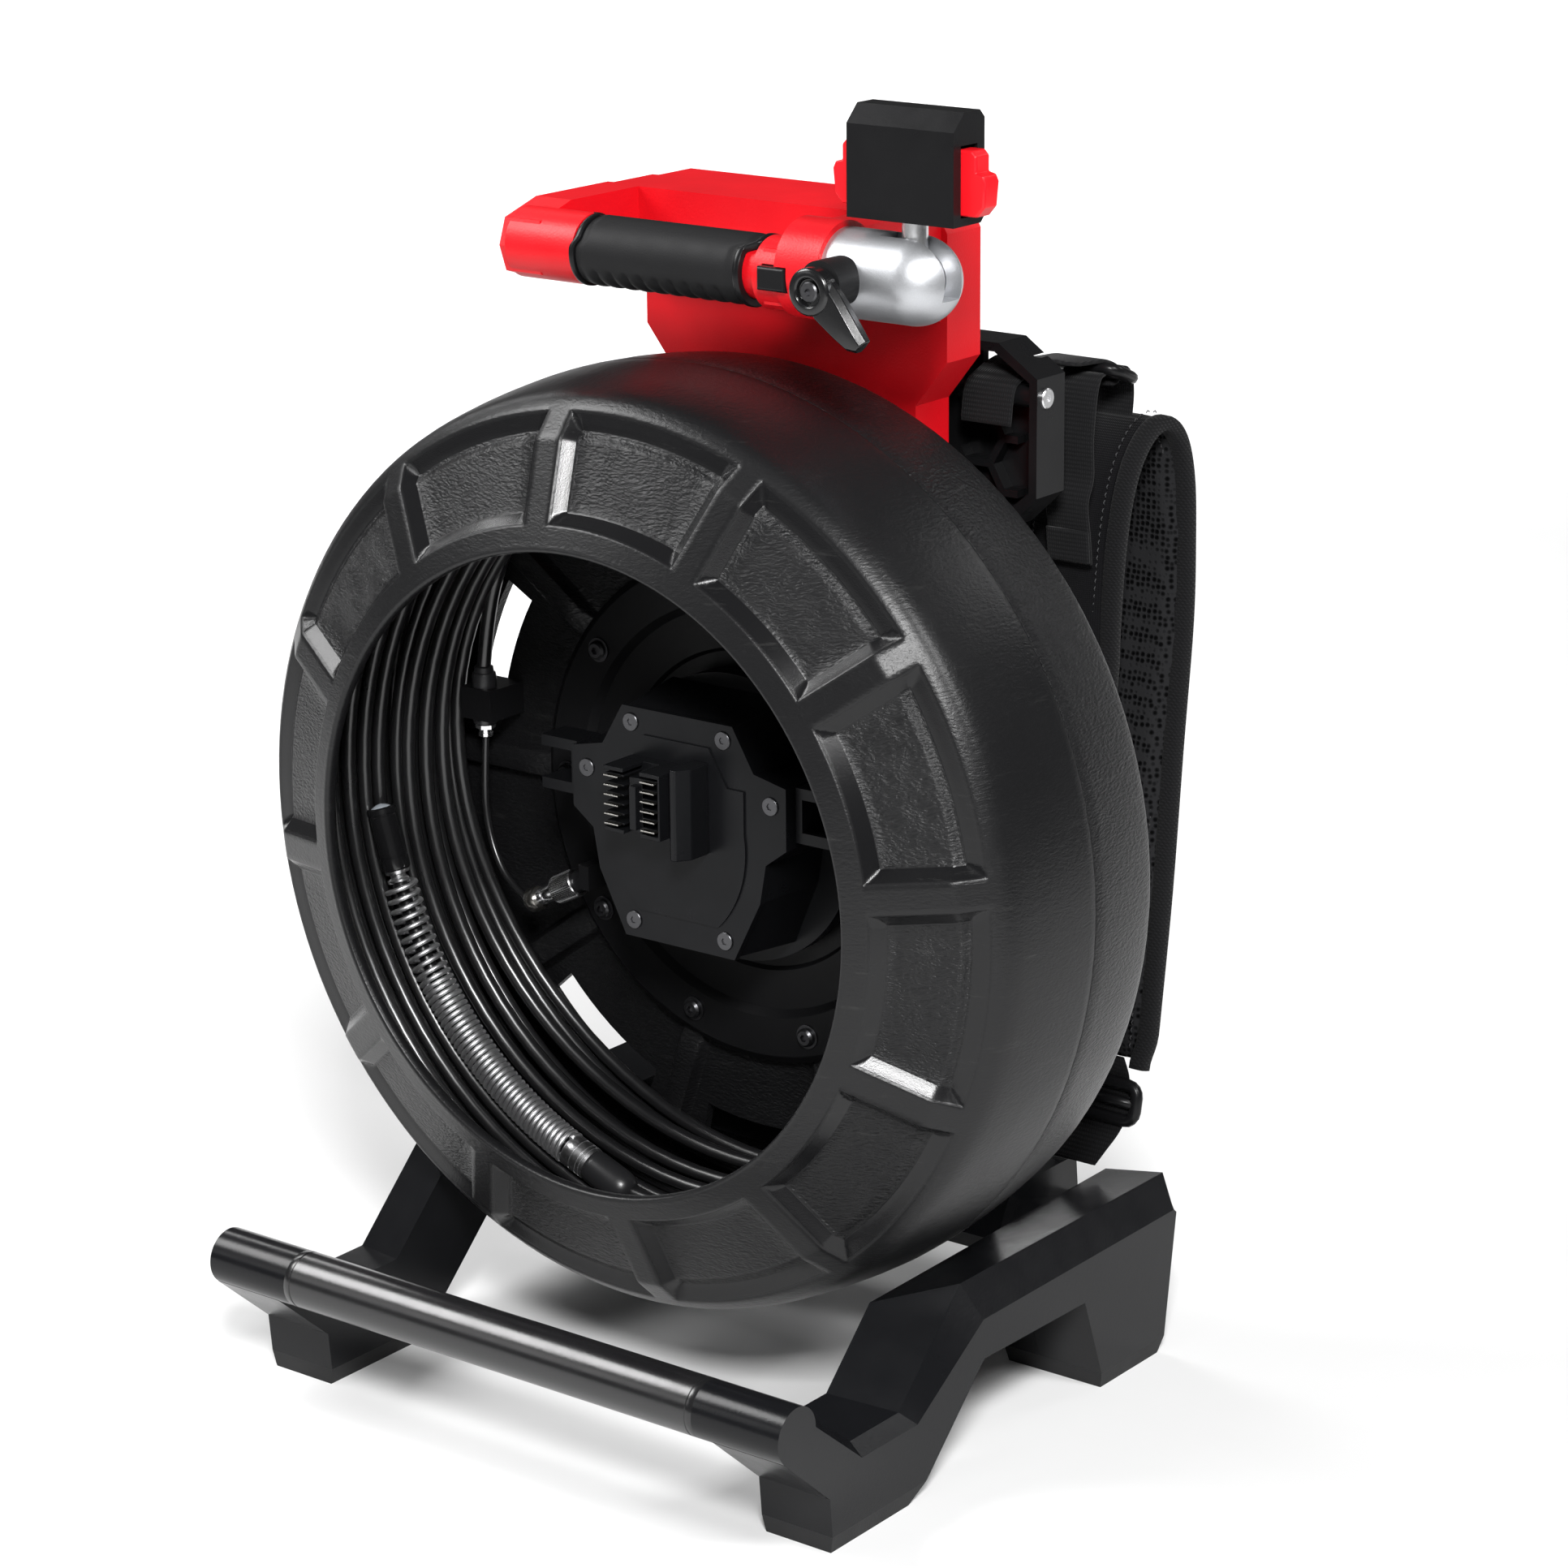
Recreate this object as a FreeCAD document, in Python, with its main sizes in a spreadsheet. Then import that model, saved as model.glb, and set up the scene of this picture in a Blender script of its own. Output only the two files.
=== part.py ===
import FreeCAD, Part

import math
import os

from FreeCAD import Placement, Rotation, Vector

# Backpack reel for a pipe inspection camera. Millimetres, +Z up, the open side of the drum faces -Y.
# Lengths along Y are counted from the front face of the front feet; every sub-part's placement then
# moves it back by midDepth, so the origin is on the floor below the middle of the whole object.

DIMENSIONS = {
    "midDepth": 178.0,
    # stand
    "railOuter": 193.6,
    "railRidge": 186.0,
    "railInner": 148.6,
    "noseInner": 139.0,
    "legInner": 129.2,
    "footPad": 9.5,
    "barRadius": 15.5,
    "barY": -30.0,
    "barZ": 76.0,
    "crossFront": 236.0,
    "crossTop": 100.0,
    # drum
    "drumZ": 309.7,
    "drumFront": 36.5,
    "drumSeam": 140.3,
    "drumBack": 200.6,
    "openingRadius": 173.2,
    "shoulderRadius": 227.0,
    "shoulderY": 58.4,
    "rimRadius": 244.6,
    "rimY": 75.7,
    "crownRadius": 254.0,
    "backRadius": 248.5,
    "shellWall": 5.0,
    "frontWall": 12.0,
    "pocketDepth": 6.0,
    "pocketInner": 187.5,
    "pocketOuter": 236.0,
    "pocketAngle": 23.5,
    "pocketCount": 12,
    "pocketPhase": -8.0,
    "windowInner": 184.0,
    "windowOuter": 203.0,
    "windowAngle": 24.0,
    "windowCount": 9,
    "spokeCount": 10,
    "backWall": 6.0,
    "spokeHalf": 7.0,
    "spokeHeight": 7.0,
    "backBore": 116.0,
    "ringOuter": 142.0,
    "ringBore": 46.0,
    "ringDepth": 10.0,
    "ringScrewCircle": 127.0,
    # hub, which stands still
    "axleRadius": 30.0,
    "bearingGap": 0.4,
    "flangeRadius": 80.0,
    "flangeFront": 172.0,
    "flangeBack": 182.0,
    "plateFront": 124.0,
    "plateThick": 4.0,
    # cable and camera
    "cableRadius": 4.0,
    "leadRadius": 2.0,
    "coilOuter": 242.0,
    "coilInner": 222.5,
    "coilFront": 92.0,
    "coilLean": 142.0,
    "coilInnerBack": 212.0,
    "coilBack": 192.0,
    "headCircle": 208.5,
    "headY": 122.0,
    "springRadius": 10.0,
    "headRadius": 8.5,
    "headLength": 36.0,
    # back frame and housing
    "frameFront": 226.0,
    "frameBack": 258.0,
    "housingHalf": 100.0,
    "housingFront": 228.0,
    "housingBottom": 470.0,
    "plateTop": 641.0,
    "plateEdge": 193.0,
    # handle and mount
    "handleY": 126.0,
    "handleZ": 619.3,
    "coreRadius": 14.5,
    "gripRadius": 18.4,
    "gripLeft": -51.0,
    "gripRight": 66.0,
    "socketY": 130.0,
    "socketZ": 623.0,
    "socketRadius": 22.5,
    "socketLeft": 108.0,
    "socketRight": 174.0,
    "ballX": 150.0,
    "ballRadius": 15.0,
    "stemRadius": 6.5,
    "slotWidth": 14.4,
    "leverX": 120.5,
    "leverY": 84.0,
    "blockWidth": 64.0,
    "blockBottom": 653.0,
    "blockTop": 708.0,
    "blockFront": 117.0,
    "blockBack": 143.0,
    # harness
    "bracketFront": 276.0,
    "bracketBack": 302.0,
    "spineHalf": 66.0,
    "bracketHalf": 124.0,
    "bracketWall": 5.0,
    "rodY": 284.0,
    "rodZ": 541.0,
    "webWidth": 32.0,
    "webThick": 2.4,
    "padWidth": 68.0,
    "padThick": 13.0,
}

doc = FreeCAD.newDocument("InspectionReel")
dims = doc.addObject("Spreadsheet::Sheet", "dims")
for row, (alias, size) in enumerate(DIMENSIONS.items(), start=1):
    dims.set(f"A{row}", alias)
    dims.set(f"B{row}", str(size))
    dims.setAlias(f"B{row}", alias)
doc.recompute()

X_AXIS = Vector(1, 0, 0)
Y_AXIS = Vector(0, 1, 0)
Z_AXIS = Vector(0, 0, 1)
NODES = {}


def size(alias):
    """A driving dimension, read from the sheet."""
    return float(dims.getPropertyByName(alias))


def at(x, y, z, direction=None):
    """Placement of a point of the stand frame; direction is where the object's own Z axis points."""
    turn = Rotation(Z_AXIS, direction) if direction else Rotation()
    return Placement(Vector(x, y - size("midDepth"), z), turn)


def node(name, obj):
    """Give a finished sub-part its label, and keep it for export."""
    obj.Label = name
    NODES[name] = obj
    return obj


def bind(obj, **expressions):
    for prop, expression in expressions.items():
        obj.setExpression(prop, expression)
    return obj


def cylinder(name, radius, length, place):
    """Part cylinder; radius and length are expressions on the sheet, or plain numbers."""
    obj = doc.addObject("Part::Cylinder", name)
    for prop, value in (("Radius", radius), ("Height", length)):
        if isinstance(value, str):
            obj.setExpression(prop, value)
        else:
            setattr(obj, prop, value)
    obj.Placement = place
    return obj


def box(name, low, high):
    """Part box between two corners of the stand frame."""
    obj = doc.addObject("Part::Box", name)
    obj.Length, obj.Width, obj.Height = (b - a for a, b in zip(low, high))
    obj.Placement = at(*low)
    return obj


def fuse(name, parts):
    obj = doc.addObject("Part::MultiFuse", name)
    obj.Shapes = parts
    return obj


def cut(name, base, tool):
    obj = doc.addObject("Part::Cut", name)
    obj.Base = base
    obj.Tool = tool
    return obj


def feature(name, shape, place=None):
    """Part::Feature for a shape that is easier to make with Part's own functions."""
    obj = doc.addObject("Part::Feature", name)
    obj.Shape = shape
    obj.Placement = place or at(0, 0, 0)
    return obj


def new_body(name, place=None):
    body = doc.addObject("PartDesign::Body", name)
    body.Placement = place or at(0, 0, 0)
    return body


def new_sketch(body, role, offset=0.0):
    """Sketch on one of the body's own origin planes, moved along the plane's normal."""
    plane = next(item for item in body.Origin.OriginFeatures if item.Role == role)
    sketch = body.newObject("Sketcher::SketchObject", f"{body.Name}_sketch")
    sketch.AttachmentSupport = [(plane, "")]
    sketch.MapMode = "FlatFace"
    sketch.AttachmentOffset = Placement(Vector(0, 0, offset), Rotation())
    return sketch


def draw(sketch, points):
    """Closed outline through the points."""
    ring = [Vector(a, b, 0) for a, b in points]
    for start, end in zip(ring, ring[1:] + ring[:1]):
        sketch.addGeometry(Part.LineSegment(start, end), False)
    return sketch


def draw_circle(sketch, radius, centre=(0.0, 0.0)):
    sketch.addGeometry(Part.Circle(Vector(*centre, 0), Z_AXIS, radius), False)
    return sketch


def pad(body, sketch, length, midplane=False, reverse=False, kind="PartDesign::Pad"):
    """Pad, or pocket, a sketch; length is an expression on the sheet or a number."""
    obj = body.newObject(kind, f"{body.Name}_pad")
    obj.Profile = sketch
    if isinstance(length, str):
        obj.setExpression("Length", length)
    else:
        obj.Length = length
    if midplane:
        obj.SideType = "Symmetric"
    obj.Reversed = reverse
    sketch.Visibility = False
    return obj


def loft(body, role, sections):
    """Ruled loft through outlines with the same number of corners."""
    sketches = [draw(new_sketch(body, role, offset), points) for offset, points in sections]
    obj = body.newObject("PartDesign::AdditiveLoft", f"{body.Name}_loft")
    obj.Profile = sketches[0]
    obj.Sections = sketches[1:]
    obj.Ruled = True
    return obj


def face_of(points):
    return Part.Face(Part.makePolygon(points + points[:1]))


def polar(radius, angle, y=0.0):
    """Point at an angle round the drum's axis, counted from +X towards +Z."""
    turn = math.radians(angle)
    return Vector(radius * math.cos(turn), y, radius * math.sin(turn))


def rounded_wire(points):
    """Straight runs joined by tangent arcs, each arc as large as its two runs allow."""
    edges = []
    start = points[0]
    radii = []
    for before, corner, after in zip(points, points[1:], points[2:]):
        run = min((corner - before).Length, (after - corner).Length)
        back = (before - corner).normalize()
        ahead = (after - corner).normalize()
        half_turn = (math.pi - back.getAngle(ahead)) / 2
        reach = 0.45 * run
        radius = reach / math.tan(half_turn)
        radii.append(round(radius))
        arc_start = corner + back * reach
        arc_end = corner + ahead * reach
        inward = (back + ahead).normalize()
        middle = corner + inward * (radius / math.cos(half_turn) - radius)
        edges.append(Part.LineSegment(start, arc_start).toShape())
        edges.append(Part.Arc(arc_start, middle, arc_end).toShape())
        start = arc_end
    edges.append(Part.LineSegment(start, points[-1]).toShape())
    return Part.Wire(edges), radii


def tube_along(points, radius, label):
    """Round tube along a route, with its volume compared with section times length."""
    path, radii = rounded_wire(points)
    direction = (points[1] - points[0]).normalize()
    section = Part.Wire(Part.Circle(points[0], direction, radius).toShape())
    tube = path.makePipeShell([section], True, True)
    expected = math.pi * radius**2 * path.Length
    share = tube.Volume / expected
    print(f"{label}: length {path.Length:.0f} mm, volume share {share:.3f}, arc radii {radii}")
    return tube


def mirrored_names(name):
    """The two sides of a mirrored pair: name, and the sign of X."""
    return ((f"{name}_left", -1), (f"{name}_right", 1))


# ---------------------------------------------------------------- stand


def rail_outline(top_rear, ridge_y, ridge_z, slope_y, flat_z, nose_z):
    """Side view of a rail in (Y, Z), from the nose down to the feet, round the back and over the top."""
    pad_top = size("footPad")
    return [
        (-40.0, 64.0),
        (-3.0, 31.2),
        (-1.0, pad_top),
        (80.0, pad_top),
        (131.8, 59.0),
        (226.7, 57.3),
        (244.0, pad_top),
        (307.0, pad_top),
        (317.5, 80.0),
        (314.5, top_rear),
        (ridge_y, ridge_z),
        (slope_y, flat_z),
        (24.0, flat_z),
        (-20.0, nose_z),
    ]


def make_rail(name, side):
    """Moulded side rail: banked top, chamfered outer edge, two legs and a round nose for the bar."""
    body = new_body(name)
    inner = rail_outline(96.0, 92.0, 93.2, 54.0, 56.0, 88.0)
    ridge = rail_outline(102.5, 120.0, 103.6, 66.0, 51.0, 86.0)
    outer = rail_outline(82.0, 131.0, 81.5, 72.0, 44.0, 80.0)
    loft(
        body,
        "YZ_Plane",
        [
            (side * size("railInner"), inner),
            (side * size("railRidge"), ridge),
            (side * size("railOuter"), outer),
        ],
    )
    nose = new_sketch(body, "YZ_Plane", side * size("noseInner"))
    draw_circle(nose, size("barRadius"), (size("barY"), size("barZ")))
    pad(body, nose, "dims.railOuter - dims.noseInner", reverse=side < 0)
    leg = new_sketch(body, "YZ_Plane", side * size("legInner"))
    pad_top = size("footPad")
    corners = [
        (229.0, 50.0),
        (244.0, pad_top),
        (307.0, pad_top),
        (317.0, 76.0),
        (262.0, 90.0),
        (229.0, 70.0),
    ]
    draw(leg, corners)
    pad(body, leg, "dims.railInner - dims.legInner + 4", reverse=side < 0)
    return body


def make_foot_pads(name, low_y, high_y, top_low, top_high, inner):
    """Pair of tapered rubber pads under the left and right legs."""
    pads = []
    for side in (-1, 1):
        corners = []
        levels = ((0.0, low_y, high_y, 2.0), (size("footPad"), top_low, top_high, 0.0))
        for z, front, back, inset in levels:
            x_in = side * (inner + inset)
            x_out = side * (size("railOuter") - inset)
            outline = ((x_in, front), (x_out, front), (x_out, back), (x_in, back))
            ring = [Vector(x, y, z) for x, y in outline]
            corners.append(Part.makePolygon(ring + ring[:1]))
        pads.append(Part.makeLoft(corners, True, True))
    return feature(name, Part.makeCompound(pads))


def make_bar():
    bar = cylinder(
        "front_bar",
        "dims.barRadius - 0.4",
        "dims.noseInner * 2",
        at(-size("noseInner"), size("barY"), size("barZ"), X_AXIS),
    )
    return bar


def make_cross_member():
    """Rear beam between the rails, with a sloping front."""
    body = new_body("rear_cross_member")
    sketch = new_sketch(body, "YZ_Plane")
    top = size("crossTop")
    front = size("crossFront")
    low = [(front, 74.0), (front + 12, 60.0), (312.0, 60.0)]
    high = [(316.0, 80.0), (314.0, top), (front + 14, top)]
    draw(sketch, low + high)
    pad(body, sketch, "dims.legInner * 2", midplane=True)
    return body


def make_upright():
    """Black upright behind the drum, with a round boss at the axle and two light openings."""
    body = new_body("back_upright")
    front = size("frameFront")
    outline = new_sketch(body, "XZ_Plane", -size("frameBack"))
    base = size("crossTop")
    top = size("housingBottom")
    draw(
        outline,
        [(-105, base), (105, base), (92, 190), (80, 240), (80, top), (-80, top), (-80, 240), (-92, 190)],
    )
    pad(body, outline, "dims.frameBack - dims.frameFront")
    for low, high in ((125.0, 205.0), (412.0, 452.0)):
        window = new_sketch(body, "XZ_Plane", -size("frameBack"))
        draw(window, [(-56, low), (56, low), (48, high), (-48, high)])
        pad(body, window, size("frameBack") - front, kind="PartDesign::Pocket", reverse=True)
    boss = new_sketch(body, "XZ_Plane", -front)
    draw_circle(boss, 70.0, (0.0, size("drumZ")))
    pad(body, boss, 8.0)
    return body


# ---------------------------------------------------------------- drum

DRUM = at(0, 0, size("drumZ"))


def revolve(body, profile, kind="PartDesign::Revolution", angle=360.0, midplane=False):
    """Turn a (Y, radius) outline round the drum's axis, which is the sketch's horizontal axis."""
    sketch = draw(new_sketch(body, "YZ_Plane"), profile)
    obj = body.newObject(kind, f"{body.Name}_turn")
    obj.Profile = sketch
    obj.ReferenceAxis = (sketch, ["H_Axis"])
    if isinstance(angle, str):
        obj.setExpression("Angle", angle)
    else:
        obj.Angle = angle
    if midplane:
        obj.Midplane = True
    return obj


def polar_pattern(body, original, count, angle=360.0):
    """Copies round the Y axis; an angle short of a full turn is from the first copy to the last."""
    pattern = body.newObject("PartDesign::PolarPattern", f"{body.Name}_pattern")
    pattern.Originals = [original]
    axis = next(item for item in body.Origin.OriginFeatures if item.Role == "Y_Axis")
    pattern.Axis = (axis, [""])
    pattern.Angle = angle
    pattern.setExpression("Occurrences", count)
    body.Tip = pattern
    return pattern


def face_at(radius):
    """Y of the drum's outer skin at a radius on the conical front and its shoulder."""
    if radius <= size("shoulderRadius"):
        share = (radius - size("openingRadius")) / (size("shoulderRadius") - size("openingRadius"))
        return size("drumFront") + share * (size("shoulderY") - size("drumFront"))
    share = (radius - size("shoulderRadius")) / (size("rimRadius") - size("shoulderRadius"))
    return size("shoulderY") + share * (size("rimY") - size("shoulderY"))


def make_front_shell():
    """Front half of the drum: conical annulus with twelve pockets, shoulder and crowned tread."""
    turn = Rotation(Y_AXIS, -size("pocketPhase"))
    body = new_body("drum_front_shell", Placement(DRUM.Base, turn))
    wall = size("frontWall")
    skin = size("shellWall")
    opening = size("openingRadius")
    revolve(
        body,
        [
            (size("drumFront"), opening),
            (size("shoulderY"), size("shoulderRadius")),
            (size("rimY"), size("rimRadius")),
            (108.0, 251.5),
            (size("drumSeam"), size("crownRadius")),
            (size("drumSeam"), size("crownRadius") - skin),
            (108.0, 251.5 - skin),
            (size("rimY") + wall, size("rimRadius") - skin + 2.5),
            (size("shoulderY") + wall + 4, size("shoulderRadius")),
            (size("drumFront") + wall, opening + 3),
            (size("drumFront") + 6, opening - 2),
        ],
    )
    doc.recompute()
    solid_volume = body.Shape.Volume
    inner = size("pocketInner")
    outer = size("pocketOuter")
    knee = size("shoulderRadius")
    deep = size("pocketDepth")
    pocket = revolve(
        body,
        [
            (face_at(inner) + deep, inner),
            (face_at(knee) + deep + 1, knee - 1),
            (face_at(outer) + deep - 1, outer - 2),
            (face_at(outer) - 8, outer),
            (face_at(inner) - 8, inner),
        ],
        kind="PartDesign::Groove",
        angle="dims.pocketAngle",
        midplane=True,
    )
    polar_pattern(body, pocket, "dims.pocketCount")
    doc.recompute()
    print(f"drum pockets remove {solid_volume - body.Shape.Volume:.0f} cubic mm")
    return body


def make_rear_shell():
    """Rear half of the drum: tread, rounded edge and a spoked wall with a slot window in most bays."""
    step = 360.0 / size("spokeCount")
    body = new_body("drum_rear_shell", Placement(DRUM.Base, Rotation(Y_AXIS, -2 * step)))
    skin = size("shellWall")
    back = size("drumBack")
    wall = size("backWall")
    bore = size("backBore")
    revolve(
        body,
        [
            (size("drumSeam"), size("crownRadius")),
            (176.0, 252.0),
            (back - 3, size("backRadius")),
            (back, size("backRadius") - 4),
            (back, bore),
            (back - wall, bore),
            (back - wall, size("backRadius") - skin),
            (176.0, 252.0 - skin),
            (size("drumSeam"), size("crownRadius") - skin),
        ],
    )
    window = revolve(
        body,
        [
            (back - wall - 2, size("windowInner")),
            (back - wall - 2, size("windowOuter")),
            (back + 2, size("windowOuter")),
            (back + 2, size("windowInner")),
        ],
        kind="PartDesign::Groove",
        angle="dims.windowAngle",
        midplane=True,
    )
    polar_pattern(body, window, "dims.windowCount", (size("windowCount") - 1) * step)
    spoke = new_sketch(body, "XZ_Plane", -(back - wall))
    half_step = math.radians(step / 2)
    along = Vector(math.sin(half_step), math.cos(half_step), 0)
    across = Vector(along.y, -along.x, 0) * size("spokeHalf")
    inner = along * (size("ringOuter") + 4)
    outer = along * (size("windowOuter") + 7)
    corners = (inner - across, outer - across, outer + across, inner + across)
    draw(spoke, [(corner.x, corner.y) for corner in corners])
    raised = pad(body, spoke, "dims.spokeHeight")
    polar_pattern(body, raised, "dims.spokeCount")
    doc.recompute()
    print(f"rear shell volume with windows and spokes {body.Shape.Volume:.0f} cubic mm")
    return body


def ring_back():
    return size("drumBack") - size("backWall")


def make_hub_ring():
    """Disc that carries the drum on the axle, with a raised rim and a bore."""
    body = new_body("hub_ring", DRUM)
    back = ring_back()
    front = back - size("ringDepth")
    revolve(
        body,
        [
            (back, size("ringOuter")),
            (front + 3, size("ringOuter")),
            (front, size("ringOuter") - 4),
            (front, 116.0),
            (front + 4, 112.0),
            (front + 4, 90.0),
            (back - 4, 88.0),
            (back - 4, size("ringBore")),
            (back + 4, size("ringBore")),
            (back + 4, size("backBore") - 2),
            (back, size("backBore") - 2),
        ],
    )
    return body


def screw(radius, height, socket_radius, socket_depth, washer=0.0):
    """Button head with a recessed drive, standing along +Z from its seat at the origin."""
    head = Part.makeCylinder(radius, height)
    head = head.makeChamfer(height * 0.3, [head.Edges[0]])
    if washer:
        head = head.fuse(Part.makeCylinder(radius + washer, 1.0))
    ring = [Vector(socket_radius, 0, height - socket_depth)]
    for step in range(1, 6):
        turned = Rotation(Z_AXIS, 60 * step).multVec(Vector(socket_radius, 0, 0))
        ring.append(turned + Vector(0, 0, height - socket_depth))
    return head.cut(face_of(ring).extrude(Z_AXIS * height))


def screws_at(name, spots, head, direction, place=None):
    """Group of identical screws at the given seats."""
    heads = []
    for spot in spots:
        one = head.copy()
        one.Placement = Placement(spot, Rotation(Z_AXIS, direction))
        heads.append(one)
    return feature(name, Part.makeCompound(heads), place)


def make_ring_screws():
    count = int(size("spokeCount"))
    seat = ring_back() - size("ringDepth")
    angles = [90 - 360.0 * (index + 0.5) / count for index in range(count)]
    spots = [polar(size("ringScrewCircle"), angle, seat) for angle in angles]
    return screws_at("ring_screws", spots, screw(5.2, 4.0, 2.2, 2.5, washer=1.6), -Y_AXIS, DRUM)


# ---------------------------------------------------------------- hub


def make_axle():
    return cylinder(
        "axle",
        "dims.axleRadius",
        "dims.frameFront - 8 - dims.flangeBack",
        at(0, size("flangeBack"), size("drumZ"), Y_AXIS),
    )


def make_bearing():
    """Bearing ring between the axle and the hub ring's bore."""
    inner = size("axleRadius")
    outer = size("ringBore") - size("bearingGap")
    outer_part = Part.makeCylinder(outer, 8.0)
    ring = outer_part.cut(Part.makeCylinder(inner, 8.0))
    return feature("bearing_ring", ring, at(0, ring_back() - 4, size("drumZ"), Y_AXIS))


def tower_outline(grow):
    """Outline of the hub tower, (X, Z) about the drum's axis; grow widens it towards its foot."""
    return [
        (-36 - grow, 67 + grow),
        (36 + grow, 67 + grow),
        (50 + grow, 44 + grow / 2),
        (72, 40),
        (72, 6),
        (58 + grow / 2, -4),
        (54 + grow / 2, -26),
        (36 + grow, -60 - grow / 2),
        (-36 - grow, -60 - grow / 2),
        (-54 - grow / 2, -26),
        (-58 - grow / 2, -4),
        (-72, 6),
        (-72, 40),
        (-50 - grow, 44 + grow / 2),
    ]


def make_hub_tower():
    """Fixed tower that carries the hub plate, with a round flange at its foot."""
    body = new_body("hub_tower", at(0, 0, size("drumZ")))
    front = size("plateFront") + size("plateThick")
    back = size("flangeFront")
    loft(body, "XZ_Plane", [(-front, tower_outline(0)), (-back, tower_outline(5))])
    flange = draw_circle(new_sketch(body, "XZ_Plane", -size("flangeBack")), size("flangeRadius"))
    pad(body, flange, "dims.flangeBack - dims.flangeFront")
    return body


def make_guide_arms():
    """Four horizontal arms beside the tower, two on each side, joined by an end web."""
    arms = []
    front = size("plateFront") + size("plateThick") + 2
    for side in (-1, 1):
        for z in (10.0, 34.0):
            x_low, x_high = sorted((side * 74.0, side * 99.0))
            arm = Part.makeBox(x_high - x_low, 20.0, 6.0, Vector(x_low, front, z))
            arms.append(arm)
        x_low, x_high = sorted((side * 74.0, side * 78.0))
        arms.append(Part.makeBox(x_high - x_low, 20.0, 30.0, Vector(x_low, front, 10.0)))
    left = arms[0].fuse(arms[1:3])
    right = arms[3].fuse(arms[4:6])
    return feature("guide_arms", Part.makeCompound([left, right]), at(0, 0, size("drumZ")))


def make_hub_plate():
    """Polygonal cover plate screwed on the tower."""
    body = new_body("hub_plate", at(0, 0, size("drumZ")))
    front = size("plateFront")
    sketch = draw(new_sketch(body, "XZ_Plane", -(front + size("plateThick"))), tower_outline(1.0))
    pad(body, sketch, "dims.plateThick")
    return body


def make_cover_insert():
    """Raised insert on the plate: chamfered at the top, rounded at the bottom."""
    left, right = (Vector(-45, 0, 10), Vector(45, 0, 10))
    bottom_left, bottom_right = (Vector(-27, 0, -44), Vector(27, 0, -44))
    shoulders = [Vector(45, 0, 34), Vector(34, 0, 34), Vector(22, 0, 54)]
    shoulders += [Vector(-corner.x, 0, corner.z) for corner in reversed(shoulders)]
    edges = [
        Part.makePolygon([bottom_left, bottom_right]),
        Part.Arc(bottom_right, Vector(43, 0, -18), right).toShape(),
        Part.makePolygon([right, *shoulders, left]),
        Part.Arc(left, Vector(-43, 0, -18), bottom_left).toShape(),
    ]
    joined = Part.Wire([edge for item in edges for edge in item.Edges])
    insert = Part.Face(joined).extrude(Y_AXIS * -1.2)
    return feature("cover_insert", insert, at(0, size("plateFront"), size("drumZ")))


TERMINAL_FRONT = size("plateFront") - 1.2


def make_terminal_block():
    """Upright block that the control unit plugs on to, with a side rail and a slot between them."""
    deep = 24.0
    block = Part.makeBox(38, deep, 36, Vector(-30, -deep, 0))
    slot = Part.makeBox(7, deep, 36, Vector(-14, -deep - 1, 4))
    key = Part.makeBox(9, deep, 8, Vector(-14, -deep - 1, -1))
    profile = ((11, 0), (11, -22), (17, -22), (22, -14), (22, 0))
    rail = face_of([Vector(x, y, -10) for x, y in profile]).extrude(Z_AXIS * 50)
    shape = block.cut([slot, key]).fuse(rail)
    return feature("terminal_block", shape, at(0, TERMINAL_FRONT, size("drumZ") + 6))


def make_terminal_blades():
    """Two rows of flat contacts on the face of the terminal block."""
    blades = []
    for x in (-28.0, -5.0):
        for step in range(6):
            blades.append(Part.makeBox(11.0, 3.0, 1.6, Vector(x, -27.0, 3.5 + step * 5.6)))
    start = at(0, TERMINAL_FRONT, size("drumZ") + 6)
    return feature("terminal_blades", Part.makeCompound(blades), start)


HUB_SCREW_SPOTS = ((-31, 59.5), (31, 59.5), (-62, 29.0), (62, 29.0), (-31, -51.0), (31, -51.0))


def make_hub_screws():
    spots = [Vector(x, size("plateFront"), z) for x, z in HUB_SCREW_SPOTS]
    return screws_at("hub_screws", spots, screw(5.0, 1.0, 2.0, 0.7), -Y_AXIS, at(0, 0, size("drumZ")))


# ---------------------------------------------------------------- cable and camera

HEAD_START = -163.0
SPRING_END = -112.0
FERRULE_LENGTH = 16.0
BOOT_LENGTH = 20.0


def tangent(angle):
    """Direction of growing angle round the drum's axis."""
    turn = math.radians(angle)
    return Vector(-math.sin(turn), 0, math.cos(turn))


def make_coil():
    """Outer shape of the wound push cable: against the drum, and heaped up towards the back wall."""
    body = new_body("cable_coil", DRUM)
    revolve(
        body,
        [
            (size("coilFront"), size("coilOuter")),
            (size("coilBack"), size("coilOuter")),
            (size("coilBack"), size("coilInnerBack")),
            (size("coilLean"), size("coilInner")),
            (size("coilFront"), size("coilInner")),
        ],
    )
    return body


def make_spring():
    """Flexible steel spring behind the camera head, as one bent tube of its outer size."""
    ring = doc.addObject("Part::Torus", "camera_spring")
    bind(ring, Radius1="dims.headCircle", Radius2="dims.springRadius")
    ring.Angle3 = SPRING_END - HEAD_START
    # own X turned to the start of the spring, own Z along -Y so that the arc runs with growing angle
    turn = Rotation(Y_AXIS, -HEAD_START).multiply(Rotation(X_AXIS, 90))
    ring.Placement = Placement(Vector(0, size("headY") - size("midDepth"), size("drumZ")), turn)
    return ring


def on_head_line(angle):
    """Point of the camera's centreline in the stand frame."""
    spot = polar(size("headCircle"), angle, size("headY"))
    return spot.x, spot.y, spot.z + size("drumZ")


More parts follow.
